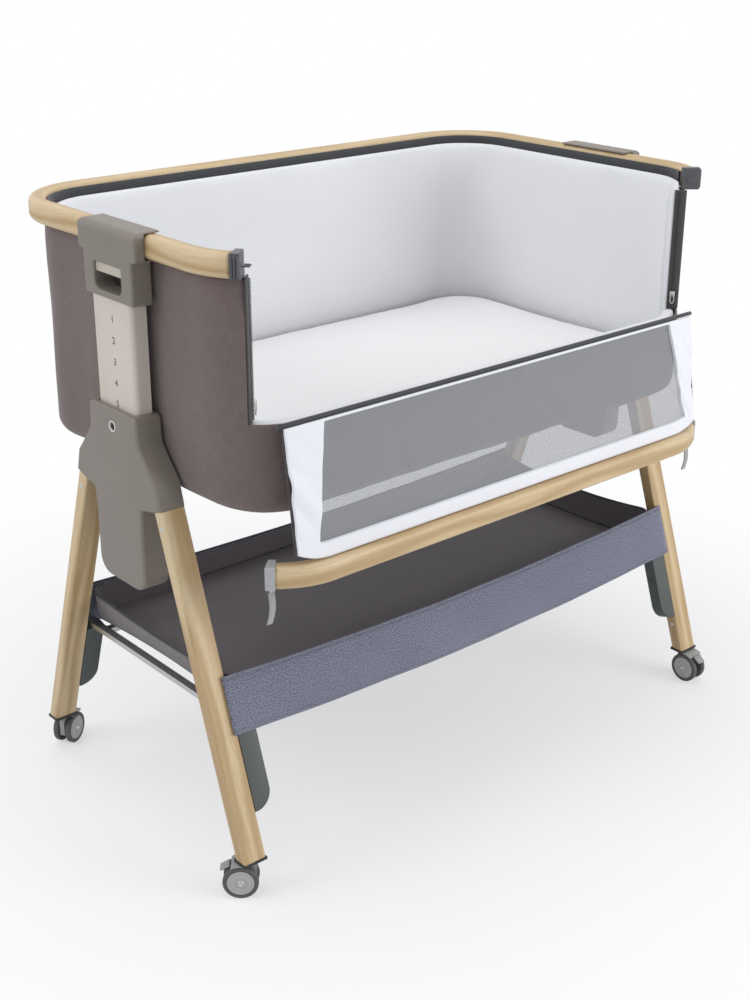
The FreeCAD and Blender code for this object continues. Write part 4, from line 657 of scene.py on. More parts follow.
def swept_rail(name, stations, shift, material):
    """A bent timber rail: one rounded section carried round its plan, closed at both ends."""
    steps = 7
    low, high, wide, r = RAIL_LOW, RAIL_TOP, RAIL_WIDE, RAIL_ROUND
    quarters = [(r, high - r, 90), (r, low + r, 180), (wide - r, low + r, 270), (wide - r, high - r, 0)]
    section = []
    for inset, height, start in quarters:
        for step in range(steps):
            turn = math.radians(start + 90 * step / (steps - 1))
            section.append((inset + r * math.cos(turn), height + r * math.sin(turn)))
    rows = len(section)

    def point(column, row):
        return spot_at(stations[column], *section[row % rows]) + Vector(shift)

    rail = grid(name, len(stations), rows + 1, point, material)
    close_ends(rail)
    for polygon in rail.data.polygons:
        polygon.use_smooth = len(polygon.vertices) == 4
    return rail


def make_rails():
    """The bent rail round three sides and the drop rail below the panel, both short of their end pieces."""
    cap = math.degrees(0.012 / BEND)
    gap = math.degrees(0.013 / BEND)
    fixed = (bend(-CX, CF, 180 + SPLIT - cap, 180, 2.5) + stretch((-CX, CF), (-CX, CB), 180)
             + bend(-CX, CB, 180, 90, 2.5) + stretch((-CX, CB), (CX, CB), 90)
             + bend(CX, CB, 90, 0, 2.5) + stretch((CX, CB), (CX, CF), 0)
             + bend(CX, CF, 0, cap - SPLIT, 2.5))
    rail = swept_rail("bent_rail", fixed, (0, 0, 0), finish["rail"])
    settle(rail, "bassinet", "oak", "top_rail")
    loose = (bend(CX, CF, -SPLIT - gap, -90, 2.5) + stretch((CX, CF), (-CX, CF), -90)
             + bend(-CX, CF, -90, gap + SPLIT - 180, 2.5))
    rail = swept_rail("drop_rail_timber", loose, RAIL_SHIFT, finish["drop_rail"])
    settle(rail, "drop_rail", "oak", "front_rail")


# ---------------------------------------------------------------- moulded pieces

def whole_copy(node):
    """A copy of a CAD piece with its triangles merged into one skin."""
    mesh = frame["nodes"][node].data.copy()
    mesh.name = node + "_moulded"
    work = bmesh.new()
    work.from_mesh(mesh)
    bmesh.ops.remove_doubles(work, verts=work.verts, dist=2e-5)
    bmesh.ops.dissolve_limit(work, angle_limit=math.radians(1.0), verts=work.verts, edges=work.edges)
    work.to_mesh(mesh)
    work.free()
    return placed(node + "_moulded", mesh)


def moulded(node, radius, segments):
    """A moulded piece: the CAD shape with a small radius along every sharp edge."""
    piece = whole_copy(node)
    smooth_all(piece)
    edge = piece.modifiers.new("edge", "BEVEL")
    edge.width, edge.segments, edge.limit_method = radius, segments, "ANGLE"
    edge.angle_limit = math.radians(32)
    edge.harden_normals = True
    plain_mesh(piece)
    settle(piece, BODY_OF[node], SLOT_OF[node], node)


def cast(node, voxel, rounds, material):
    """A thick moulded piece with softly rounded edges all over."""
    piece = whole_copy(node)
    remesh = piece.modifiers.new("even", "REMESH")
    remesh.mode, remesh.voxel_size = "VOXEL", voxel
    soften = piece.modifiers.new("soften", "SMOOTH")
    soften.factor, soften.iterations = 0.5, rounds
    plain_mesh(piece)
    piece.data.materials.clear()
    piece.data.materials.append(material)
    smooth_all(piece)
    return piece


def make_casings():
    """The leg casings, with rounded edges, and the pale ring round each number window."""
    for side in SIDES:
        node = f"{SIDES[side]}_leg_casing"
        moulded(node, 0.0014, 4)
        profile = [(0.0, 0.0079), (0.0012, 0.0079), (0.0018, 0.0074), (0.0018, 0.0068), (0.0010, 0.0062),
                   (-0.0016, 0.0060), (-0.0016, 0.0079), (0.0, 0.0079)]
        window = (side * 0.4880, MID, 0.618)
        ring = lathe(f"{SIDES[side]}_window_ring", profile, window, (side, 0, 0), finish["ring"], 40)
        settle(ring, "base", "pale_plastic")


def make_brackets():
    """The rail's sleeves: 11 mm narrower than their solids, and rounded over the rail's outer edge."""
    reach, outer, trim = 0.011, 0.4815, 0.0055
    for side in SIDES:
        node = f"{SIDES[side]}_rail_bracket"
        low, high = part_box(node)
        piece = cast(node, 0.0013, 8, finish["taupe"])
        top = high.z
        narrow = 1 - trim / ((high.y - low.y) / 2)
        for vertex in piece.data.vertices:
            spot = vertex.co
            spot.y = MID + (spot.y - MID) * narrow
            out, rise = abs(spot.x) - (outer - reach), spot.z - (top - reach)
            if out > 0 and rise > 0 and math.hypot(out, rise) > reach:
                shrink = reach / math.hypot(out, rise)
                spot.x = math.copysign(outer - reach + out * shrink, spot.x)
                spot.z = top - reach + rise * shrink
        settle(piece, BODY_OF[node], SLOT_OF[node], node)


def make_rivets():
    """Domed rivets, each with a rim and a groove round its dome, one on each arm of the casings."""
    profile = [(-0.002, 0.0), (-0.002, 0.0046), (0.0008, 0.0046), (0.0013, 0.0042), (0.0013, 0.0036),
               (0.0010, 0.0033), (0.0017, 0.0027), (0.0023, 0.0015), (0.0024, 0.0)]
    heads = []
    for side in SIDES:
        for end in ENDS:
            place = (side * 0.4862, MID + end * ARM_REACH, ARM_HEIGHT)
            heads.append(lathe("rivet", profile, place, (side, 0, 0), finish["steel"], 28))
    settle(joined("arm_rivets", heads), "base", "steel", "leg_rivets")


def make_ribs():
    """Upright ribs round the outer faces of the rail's end pieces."""
    for side in SIDES:
        node = f"{SIDES[side]}_rail_end"
        low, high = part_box(node)
        rise = high.z - low.z - 0.006
        ribs = []
        for index in range(3):
            turn = SPLIT - 5.0 + 1.9 * index
            angle = 180 + turn if side == LEFT else -turn
            station = (Vector((side * CX, CF)), angle)
            path = [spot_at(station, -0.0012, low.z + 0.003 + rise * step / 8) for step in range(9)]
            ribs.append(rope("rib", path, 0.0019, finish["end_piece"], 10))
        settle(joined(f"{SIDES[side]}_end_ribs", ribs), "bassinet", "dark_plastic")


def make_fittings():
    """Small plastic parts with softened edges: by the end of the name, the radius and its steps."""
    edges = {"_height_lever": (0.0008, 2), "_shelf_socket": (0.0016, 3), "_caster_fork": (0.0005, 2),
             "_pedal": (0.0008, 2)}
    for node in frame["nodes"]:
        if node.endswith(("_rail_end", "_rail_cap")):
            dress = finish["end_piece" if node.endswith("_rail_end") else "cap"]
            settle(cast(node, 0.0008, 14, dress), BODY_OF[node], SLOT_OF[node], node)
        for ending, (radius, segments) in edges.items():
            if node.endswith(ending):
                moulded(node, radius, segments)


# ---------------------------------------------------------------- cot

def make_cot_cloth():
    """The sewn outer cover: hangs inside the rail, rounds under, and dips along the open side."""
    ring = ROUND_BACK + ROUND_FRONT[1:-1]
    first_front = len(ROUND_BACK) - 1
    along = runs(ring)
    top = RAIL_LOW - 0.0008
    wall, radius = 0.0205, 0.026
    heights = [top, top - 0.006, 0.82, 0.79, 0.76, 0.73, 0.70, 0.68, LIP, 0.65, 0.63, 0.61, 0.59, 0.575,
               0.565]
    sections = [(wall, height) for height in heights]
    for step in range(1, 9):
        turn = math.radians(90 * step / 8)
        sections.append((wall + radius * (1 - math.cos(turn)), COT_LOW + radius - radius * math.sin(turn)))
    sections += [(0.060, COT_LOW), (0.080, COT_LOW), (0.100, COT_LOW)]
    down = running(sections)

    def point(column, row):
        """Calm where the cover slides past the casings, with slow folds elsewhere."""
        station = ring[column]
        inset, height = sections[row]
        spot = spot_at(station, inset, height)
        free = min(1.0, max(0.0, (abs(spot.y - MID) - 0.165) / 0.045)) if abs(spot.x) > 0.40 else 1.0
        hang = min(1.0, max(0.0, (top - height) / 0.06))
        swell = 0.0025 * math.sin(math.pi * hang * 0.5) * free
        fold = ripple(spot, 0.0045, 0.11, 0.30) + ripple(spot, 0.0018, 0.035, 0.12, 4.0)
        if height <= COT_LOW + 0.001:
            fold *= 0.2
        if fold > 0:
            fold *= free
        return spot + outward(station) * (swell + fold * hang)

    lip_row = heights.index(LIP)
    shell = grid("cot_cloth_shell", len(ring), len(sections), point, finish["cot_cloth"],
                 lambda column, row: (along[column], down[row]),
                 lambda column, row: column < first_front or row >= lip_row, closed=True, flip=True)
    floor = [point(column, len(sections) - 1) for column in range(len(ring))]
    cap = new_piece("cot_cloth_under", floor, [tuple(range(len(floor)))[::-1]], finish["cot_cloth"],
                    [(spot.x, spot.y) for spot in floor], False)
    cover = joined("cot_cover", [shell, cap])
    tidy(cover, 1e-5, True)
    thicken(cover, 0.0024)
    settle(cover, "bassinet", "grey_melange", "outer_cloth")


def make_liner():
    """The padded lining: a closed roll of quilting round three sides, and a low one along the front."""
    def padded_wall(name, stations, high, low):
        middle = (high + low) / 2
        outer = 0.0238
        back = [(outer, low), (outer, low + 0.02), (outer, middle)]
        if high > RAIL_LOW:
            back += [(outer, RAIL_LOW - 0.012), (outer + 0.001, RAIL_LOW - 0.003),
                     (0.0304, RAIL_LOW + 0.001), (0.0305, high - 0.006)]
        else:
            back += [(outer, high - 0.006)]
        crown = [(back[-1][0] + 0.0012, high - 0.0022), (back[-1][0] + 0.0050, high), (0.0385, high - 0.0006),
                 (0.0418, high - 0.004)]
        inner = [(0.0432, high - 0.012), (0.0448, high - 0.035), (0.0455, middle + 0.03),
                 (0.0448, middle - 0.03), (0.0425, 0.612), (0.0420, 0.600), (0.0420, low)]
        if high <= RAIL_LOW:
            inner = [(0.0428, high - 0.012), (0.0428, 0.620), (0.0420, 0.600), (0.0420, low)]
        loop = back + crown + inner
        along, down = runs(stations), running(loop)
        rows = len(loop)

        def point(column, row):
            inset, height = loop[row % rows]
            spot = spot_at(stations[column], inset, height)
            inside = row % rows >= len(back) + len(crown)
            strength = 0.0032 if inside and 0.62 < height < high - 0.01 else 0.0
            fold = ripple(spot, strength, 0.16, 0.14, 2.0) + ripple(spot, strength * 0.5, 0.05, 0.22, 9.0)
            return spot - outward(stations[column]) * fold

        measure = down + [down[-1] + 0.02]
        wall = grid(name, len(stations), rows + 1, point, finish["liner"],
                    lambda column, row: (along[column], measure[row]))
        for column in (0, len(stations) - 1):
            work = bmesh.new()
            work.from_mesh(wall.data)
            corners = []
            for row in range(rows):
                target = point(column, row)
                corners.append(min(work.verts, key=lambda vertex: (vertex.co - target).length_squared))
            work.faces.new(corners)
            work.to_mesh(wall.data)
            work.free()
        tidy(wall, 1e-6, True)
        return wall

    low = COT_LOW + 0.0205
    high_wall = padded_wall("liner_high", ROUND_BACK, RAIL_TOP - 0.018, low)
    low_wall = padded_wall("liner_low", ROUND_FRONT, LIP - 0.0005, low)
    liner = joined("cot_liner", [high_wall, low_wall])
    smooth_all(liner)
    settle(liner, "bassinet", "cream_cloth", "liner")


def make_rim_band():
    """The dark band that hides the cover's clips along the rail's inner face."""
    stations = ROUND_BACK[2:-2]
    top, low = RAIL_TOP - 0.006, RAIL_LOW + 0.0008
    loop = [(0.0256, low), (0.0256, top - 0.0012), (0.0262, top - 0.0003), (0.0272, top),
            (0.0282, top - 0.0004), (0.0289, top - 0.0016), (0.0290, top - 0.006), (0.0287, low + 0.004),
            (0.0284, low)]
    along = runs(stations)
    rows = len(loop)
    band = grid("rim_band", len(stations), rows + 1,
                lambda column, row: spot_at(stations[column], *loop[row % rows]), finish["binding"],
                lambda column, row: (along[column], row * 0.004))
    tidy(band, 1e-6, True)
    settle(band, "bassinet", "dark_binding", "rail_trim")
    line = [spot_at(station, 0.0291, top - 0.004) for station in stations]
    stitches = row_of("rim_band_stitches", [line], finish["thread"],
                      Spacing=0.005, Length=0.0034, Width=0.0006, Height=0.0006)
    settle(stitches, "bassinet", "dark_binding")


def rounded_box(name, half_x, front, back, low, high, corner, material):
    """A soft rectangular pad with round upright corners and rolled edges."""
    corners = [(half_x - corner, front + corner, -90), (half_x - corner, back - corner, 0),
               (corner - half_x, back - corner, 90), (corner - half_x, front + corner, 180)]
    ring = []
    for x, y, start in corners:
        ring += [(x, y, start + 90 * step / 8) for step in range(9)]
    roll = (high - low) * 0.42
    quarter = [math.radians(15 * step) for step in range(7)]
    sections = [(roll * (1 - math.sin(a)), low + roll * (1 - math.cos(a))) for a in quarter]
    sections += [(roll * (1 - math.sin(a)), high - roll * (1 - math.cos(a))) for a in reversed(quarter)]

    def point(column, row):
        x, y, start = ring[column]
        inset, height = sections[row]
        reach = corner - inset
        turn = math.radians(start)
        return Vector((x + reach * math.cos(turn), y + reach * math.sin(turn), height))

    pad = grid(name, len(ring), len(sections), point, material, closed=True)
    close_ends(pad)
    return pad


def puffed(piece, voxel, pressure, cap, frames=20):
    """Blows a closed pad up a little as cloth, then keeps every point within the cap."""
    remesh = piece.modifiers.new("even", "REMESH")
    remesh.mode, remesh.voxel_size = "VOXEL", voxel
    plain_mesh(piece)
    start = [vertex.co.copy() for vertex in piece.data.vertices]
    scene = bpy.context.scene
    fabric = piece.modifiers.new("fabric", "CLOTH")
    settings = fabric.settings
    settings.quality = 4
    settings.use_pressure = True
    settings.uniform_pressure_force = pressure
    settings.effector_weights.gravity = 0.0
    fabric.point_cache.frame_start, fabric.point_cache.frame_end = 1, frames
    for number in range(1, frames + 1):
        scene.frame_set(number)
    plain_mesh(piece)
    scene.frame_set(1)
    for vertex, before in zip(piece.data.vertices, start):
        move = vertex.co - before
        if move.length > cap:
            vertex.co = before + move.normalized() * cap
    return piece


def set_flat_uv(piece):
    """Cloth measure from the flat plan, with the sides carried on down."""
    mesh = piece.data
    layer = mesh.uv_layers.get("UVMap") or mesh.uv_layers.new(name="UVMap")
    for polygon in mesh.polygons:
        tall = abs(polygon.normal.z) < 0.6
        across = abs(polygon.normal.x) > abs(polygon.normal.y)
        for loop in polygon.loop_indices:
            spot = mesh.vertices[mesh.loops[loop].vertex_index].co
            if not tall:
                layer.data[loop].uv = (spot.x, spot.y)
            elif across:
                layer.data[loop].uv = (spot.z, spot.y)
            else:
                layer.data[loop].uv = (spot.x, spot.z)


def make_mattress():
    """The mattress: a puffed pad with slow hollows in its top."""
    low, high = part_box("mattress")
    pad = rounded_box("mattress_pad", high.x - 0.004, low.y + 0.004, high.y - 0.004, low.z + 0.003,
                      high.z - 0.004, 0.070, finish["sheet"])
    puffed(pad, 0.008, 3.0, 0.0045)
    smoother = pad.modifiers.new("smoother", "SUBSURF")
    smoother.levels = smoother.render_levels = 1
    plain_mesh(pad)
    for vertex in pad.data.vertices:
        spot = vertex.co
        reach = max(abs(spot.x) / high.x, abs(spot.y - 0.015) / 0.245)
        if spot.z > (low.z + high.z) / 2:
            crown = 0.0022 * (1 - min(1.0, reach) ** 2)
            spot.z += crown + ripple(spot, 0.0016, 0.09, 1.0) + ripple(spot, 0.0007, 0.03, 1.0, 5.0)
        spot.z = min(max(spot.z, low.z), high.z + 0.004)
    smooth_all(pad)
    pad.data.materials.clear()
    pad.data.materials.append(finish["sheet"])
    set_flat_uv(pad)
    settle(pad, "mattress", "white_cloth", "mattress")


def split_spot(side, radius, forward, height):
    """A place on a cot's front edge: its distance from the corner's centre, and in front of the split."""
    turn = math.radians(SPLIT)
    out = Vector((side * math.cos(turn), -math.sin(turn), 0))
    ahead = Vector((-side * math.sin(turn), -math.cos(turn), 0))
    return Vector((side * CX, CF, height)) + out * radius + ahead * forward


def make_zips():
    """Zip tapes on the cot's two front edges, their coils, and a slider with a pull on each."""
    low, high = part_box("zip_tapes")
    rise = high.z - low.z - 0.008
    coil, ring = 0.0915, 0.0030
    tapes = [ribbon(f"tape_{SIDES[side]}", side, 0.0935, 0.0090, 0.0007, 0.0034, low.z, high.z)
             for side in SIDES]
    settle(joined("zip_tape_pair", tapes), "bassinet", "dark_binding", "zip_tapes")
    for side in SIDES:
        name = SIDES[side]
        low_s, high_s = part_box(f"{name}_zip_slider")
        line = [split_spot(side, coil, 0.0050, low.z + 0.004 + rise * step / 30) for step in range(31)]
        teeth = row_of(f"{name}_zip_coil", [line], finish["black"], "tooth",
                       Spacing=0.0026, Length=0.0014, Width=0.0030, Height=0.0018)
        settle(teeth, "bassinet", "dark_binding")
        middle = (low_s.z + high_s.z) / 2
        body = rounded_strip(f"{name}_slider_body", side, coil, 0.0042, 0.0062, 0.0094,
                             high_s.z - 0.009, high_s.z)
        ring_path = []
        for step in range(24):
            turn = 2 * math.pi * step / 24
            height = middle - 0.003 + 0.0062 * math.cos(turn)
            ring_path.append(split_spot(side, coil + ring * math.sin(turn), 0.0084, height))
        pull = rope(f"{name}_slider_pull", ring_path, 0.0008, finish["steel"], 8, 1.0, True)
        slider = joined(f"{name}_slider", [body, pull])
        settle(slider, f"{name}_zip", "steel", f"{name}_zip_slider")


def ribbon(name, side, radius, half_width, front, back, low, high):
    """A flat upright tape across the wall's end, with rolled edges."""
    steps, across = 48, 9
    points, faces, uvs = [], [], []
    outline = []
    for step in range(across):
        share = 2 * step / (across - 1) - 1
        outline.append((half_width * share, back - 0.0009 * abs(share) ** 4))
    outline += [(offset, front) for offset, _ in reversed(outline)]
    for step in range(steps + 1):
        height = low + (high - low) * step / steps
        for offset, lift in outline:
            points.append(split_spot(side, radius + offset, lift, height))
            uvs.append((height, offset))
    count = len(outline)
    for step in range(steps):
        for index in range(count):
            a, b = step * count + index, step * count + (index + 1) % count
            faces.append((a, b, b + count, a + count))
    faces += [tuple(range(count)), tuple(steps * count + index for index in range(count))[::-1]]
    piece = new_piece(name, points, faces, finish["zip_tape"], uvs)
    tidy(piece, 1e-6, True)
    return piece


def rounded_strip(name, side, radius, half_width, front, back, low, high):
    """A small metal slider body with bevelled edges."""
    outline = [(-half_width, front), (half_width, front), (half_width * 0.8, back), (-half_width * 0.8, back)]
    points = [split_spot(side, radius + offset, lift, height)
              for height in (low, high) for offset, lift in outline]
    faces = [(0, 1, 2, 3), (7, 6, 5, 4), (0, 4, 5, 1), (1, 5, 6, 2), (2, 6, 7, 3), (3, 7, 4, 0)]
    piece = new_piece(name, points, faces, finish["steel"], [(spot.x, spot.z) for spot in points])
    tidy(piece, 1e-6, True)
    edge = piece.modifiers.new("edge", "BEVEL")
    edge.width, edge.segments = 0.0009, 3
    return plain_mesh(piece)


# ---------------------------------------------------------------- drop panel

# The open panel hangs from the hinge and leans out by TILT; DOWN runs along its cloth and OUT away from it.
TILT = math.asin(0.030 / 0.200)
DOWN = Vector((0, -math.sin(TILT), -math.cos(TILT)))
OUT = Vector((0, -math.cos(TILT), math.sin(TILT)))
# Half the cloth's length, the measures down the cloth of its two long edges, and the window's left, right,
# top and bottom edges.
PANEL_HALF, PANEL_TOP, PANEL_LOW = 0.398, 0.0036, 0.1828
WINDOW = (-0.370, 0.348, 0.0070, 0.1630)


def low_at(across):
    """The panel's lower edge: straight along the rail, then up along the rail's bends."""
    beyond = max(0.0, abs(across) - (HALF - CORNER))
    return PANEL_LOW - (BEND - math.sqrt(BEND ** 2 - beyond ** 2))


def slanted(across, down):
    """The window's ends lean: it is shorter along the hinge than along the rail."""
    left, right, top, bottom = WINDOW
    share = min(1.0, max(0.0, (down - top) / (bottom - top)))
    new_left, new_right = left + 0.035 - 0.027 * share, right + 0.028 * share
    if across < left:
        return -PANEL_HALF + (across + PANEL_HALF) * (new_left + PANEL_HALF) / (left + PANEL_HALF)
    if across > right:
        return PANEL_HALF - (PANEL_HALF - across) * (PANEL_HALF - new_right) / (PANEL_HALF - right)
    return new_left + (across - left) * (new_right - new_left) / (right - left)


def on_panel(across, down, out=0.0):
    """A place on the panel from its measure along the hinge and down the cloth."""
    across = slanted(across, down)
    share = (down - PANEL_TOP) / (PANEL_LOW - PANEL_TOP)
    down = PANEL_TOP + (low_at(across) - PANEL_TOP) * share
    return HINGE + Vector((across, 0, 0)) + DOWN * down + OUT * out


def panel_wave(across, down):
    """How far the slack cloth stands out of the panel's plane."""
    hold = math.sin(math.pi * min(1.0, max(0.0, (down - PANEL_TOP) / (PANEL_LOW - PANEL_TOP))))
    wave = 0.0013 * noise.noise(Vector((across * 14, down * 18, 1.3)))
    border = min(1.0, max(0.0, (WINDOW[0] + 0.01 - across) / 0.02, (across - WINDOW[1] + 0.01) / 0.02))
    run, cross = across * 0.55 + down * 0.84, across * 0.84 - down * 0.55
    fold = (0.0008 + 0.0048 * border) * noise.noise(Vector((cross * 62, run * 10, 7.1)))
    return (wave + fold) * hold


def spread(low, high, count):
    """Even steps from low to high, with both."""
    return [low + (high - low) * index / count for index in range(count + 1)]


def make_panel():
    """The drop panel's cloth, net, stitching, edges and zips, and the piping that it hangs from."""
    left, right, top, bottom = WINDOW
    columns = spread(-PANEL_HALF, left, 18) + spread(left, right, 150)[1:] + spread(right, PANEL_HALF, 18)[1:]
    rows = [PANEL_TOP, (PANEL_TOP + top) / 2] + spread(top, bottom, 48) + spread(bottom, PANEL_LOW, 8)[1:]

    def point(column, row):
        across, down = columns[column], rows[row]
        return on_panel(across, down, panel_wave(across, down) + 0.0016)

    def keep(column, row):
        across = (columns[column] + columns[column + 1]) / 2
        down = (rows[row] + rows[row + 1]) / 2
        return not (left < across < right and top < down < bottom)

    border = grid("panel_border_cloth", len(columns), len(rows), point, finish["border"],
                  lambda column, row: (columns[column], rows[row]), keep)
    thicken(border, 0.0030)
    settle(border, "drop_panel", "white_cloth", "panel_border")

    wide, tall = spread(left - 0.004, right + 0.004, 120), spread(top - 0.003, bottom + 0.004, 28)

    def net_point(column, row):
        across, down = wide[column], tall[row]
        hold = math.sin(math.pi * (row / (len(tall) - 1))) * math.sin(math.pi * column / (len(wide) - 1))
        return on_panel(across, down, 0.0002 + panel_wave(across, down) + 0.0012 * hold)

    net = grid("panel_window_net", len(wide), len(tall), net_point, finish["net"],
               lambda column, row: (wide[column], tall[row]))
    wide[-1] - wide[0]
    tall[-1] - tall[0]
    settle(net, "drop_panel", "grey_net", "panel_net")

    def frame_line(grow):
        """A line round the window, outside its edge by grow, with round corners."""
        a, b, c, d = left - grow, right + grow, top - grow * 0.4, bottom + grow
        r = 0.004 + grow * 0.5
        line = []
        for x, z, start in ((a + r, c + r, 180), (b - r, c + r, 270), (b - r, d - r, 0), (a + r, d - r, 90)):
            for step in range(7):
                turn = math.radians(start + 15 * step)
                line.append((x + r * math.cos(turn), z + r * math.sin(turn)))
        line.append(line[0])
        dense = []
        for (x0, z0), (x1, z1) in zip(line, line[1:]):
            count = max(1, int(math.dist((x0, z0), (x1, z1)) / 0.012))
            dense += [(x0 + (x1 - x0) * k / count, z0 + (z1 - z0) * k / count) for k in range(count)]
        return dense + [line[-1]]

    hem = [on_panel(x, z, panel_wave(x, z) + 0.0018) for x, z in frame_line(0.0035)]
    stitched = row_of("panel_stitches", [hem], finish["pale_thread"],
                      Spacing=0.0042, Length=0.0030, Width=0.0007, Height=0.0005)
    settle(stitched, "drop_panel", "white_cloth")
    hem_cord = [on_panel(x, z, panel_wave(x, z) + 0.0012) for x, z in frame_line(0.0002)]
    edge = rope("window_edge", hem_cord, 0.0011, finish["border"], 8)
    settle(edge, "drop_panel", "white_cloth")
    sides = []
    for side in SIDES:
        path = [on_panel(side * (PANEL_HALF - 0.001), down, 0.0002)
                for down in spread(PANEL_TOP + 0.002, PANEL_LOW - 0.002, 24)]
        sides.append(rope(f"panel_zip_{SIDES[side]}", path, 0.0042, finish["zip_tape"], 12, 0.5))
    settle(joined("panel_zip_edges", sides), "drop_panel", "dark_binding")

    length = PANEL_HALF + 0.006
    path = [Vector((x, HINGE.y, HINGE.z)) for x in spread(-length, length, 60)]
    cord = rope("piping_cord", path, 0.0031, finish["binding"], 14)
    flap = flat_strip("piping_flap", PANEL_HALF)
    settle(joined("hinge_piping", [cord, flap]), "bassinet", "dark_binding", "panel_piping")


def flat_strip(name, half):
    """The piping's sewn-on flap along the front lip."""
    steps = 80
    xs = spread(-half, half, steps)
    section = [(-0.2615, 0.6630), (-0.2615, 0.6646), (-0.2540, 0.6647), (-0.2515, 0.6640), (-0.2515, 0.6630)]
    rows = len(section)
    strip = grid(name, steps + 1, rows + 1, lambda column, row: Vector((xs[column], *section[row % rows])),
                 finish["binding"], lambda column, row: (xs[column], row * 0.004))
    tidy(strip, 1e-6, True)
    return strip


def make_straps():
    """Short webbing pulls that hang from the latch pins."""
    for side in SIDES:
        name = SIDES[side]
        low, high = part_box(f"{name}_pull_strap")
        middle = (low + high) / 2
        count = 24

        def point(column, row):
            share = row / (count - 1)
            drop = high.z + (low.z - high.z) * share
            swing = 0.004 * math.sin(share * math.pi * 1.1)
            across = (column / 6 - 0.5) * (high.x - low.x) * (1 - 0.12 * share)
            return Vector((middle.x + across + side * 0.003 * share, middle.y - swing, drop))

        strap = grid(f"{name}_pull", 7, count, point, finish["webbing"],
                     lambda column, row: (row * 0.002, column * 0.0016))
        thicken(strap, 0.0013, 0.0)
        settle(strap, f"{name}_latch", "webbing", f"{name}_pull_strap")


# ---------------------------------------------------------------- shelf

def leg_reach(height):
    """How far a leg's middle line is from MID at a height."""
    return FOOT_REACH - (height - FOOT_HEIGHT) * LEG_SLOPE


def wall_at(height):
    """Half the basket's depth at a height, just outside the legs."""
    return leg_reach(height) + 0.0105 / math.cos(math.atan(LEG_SLOPE)) + 0.002


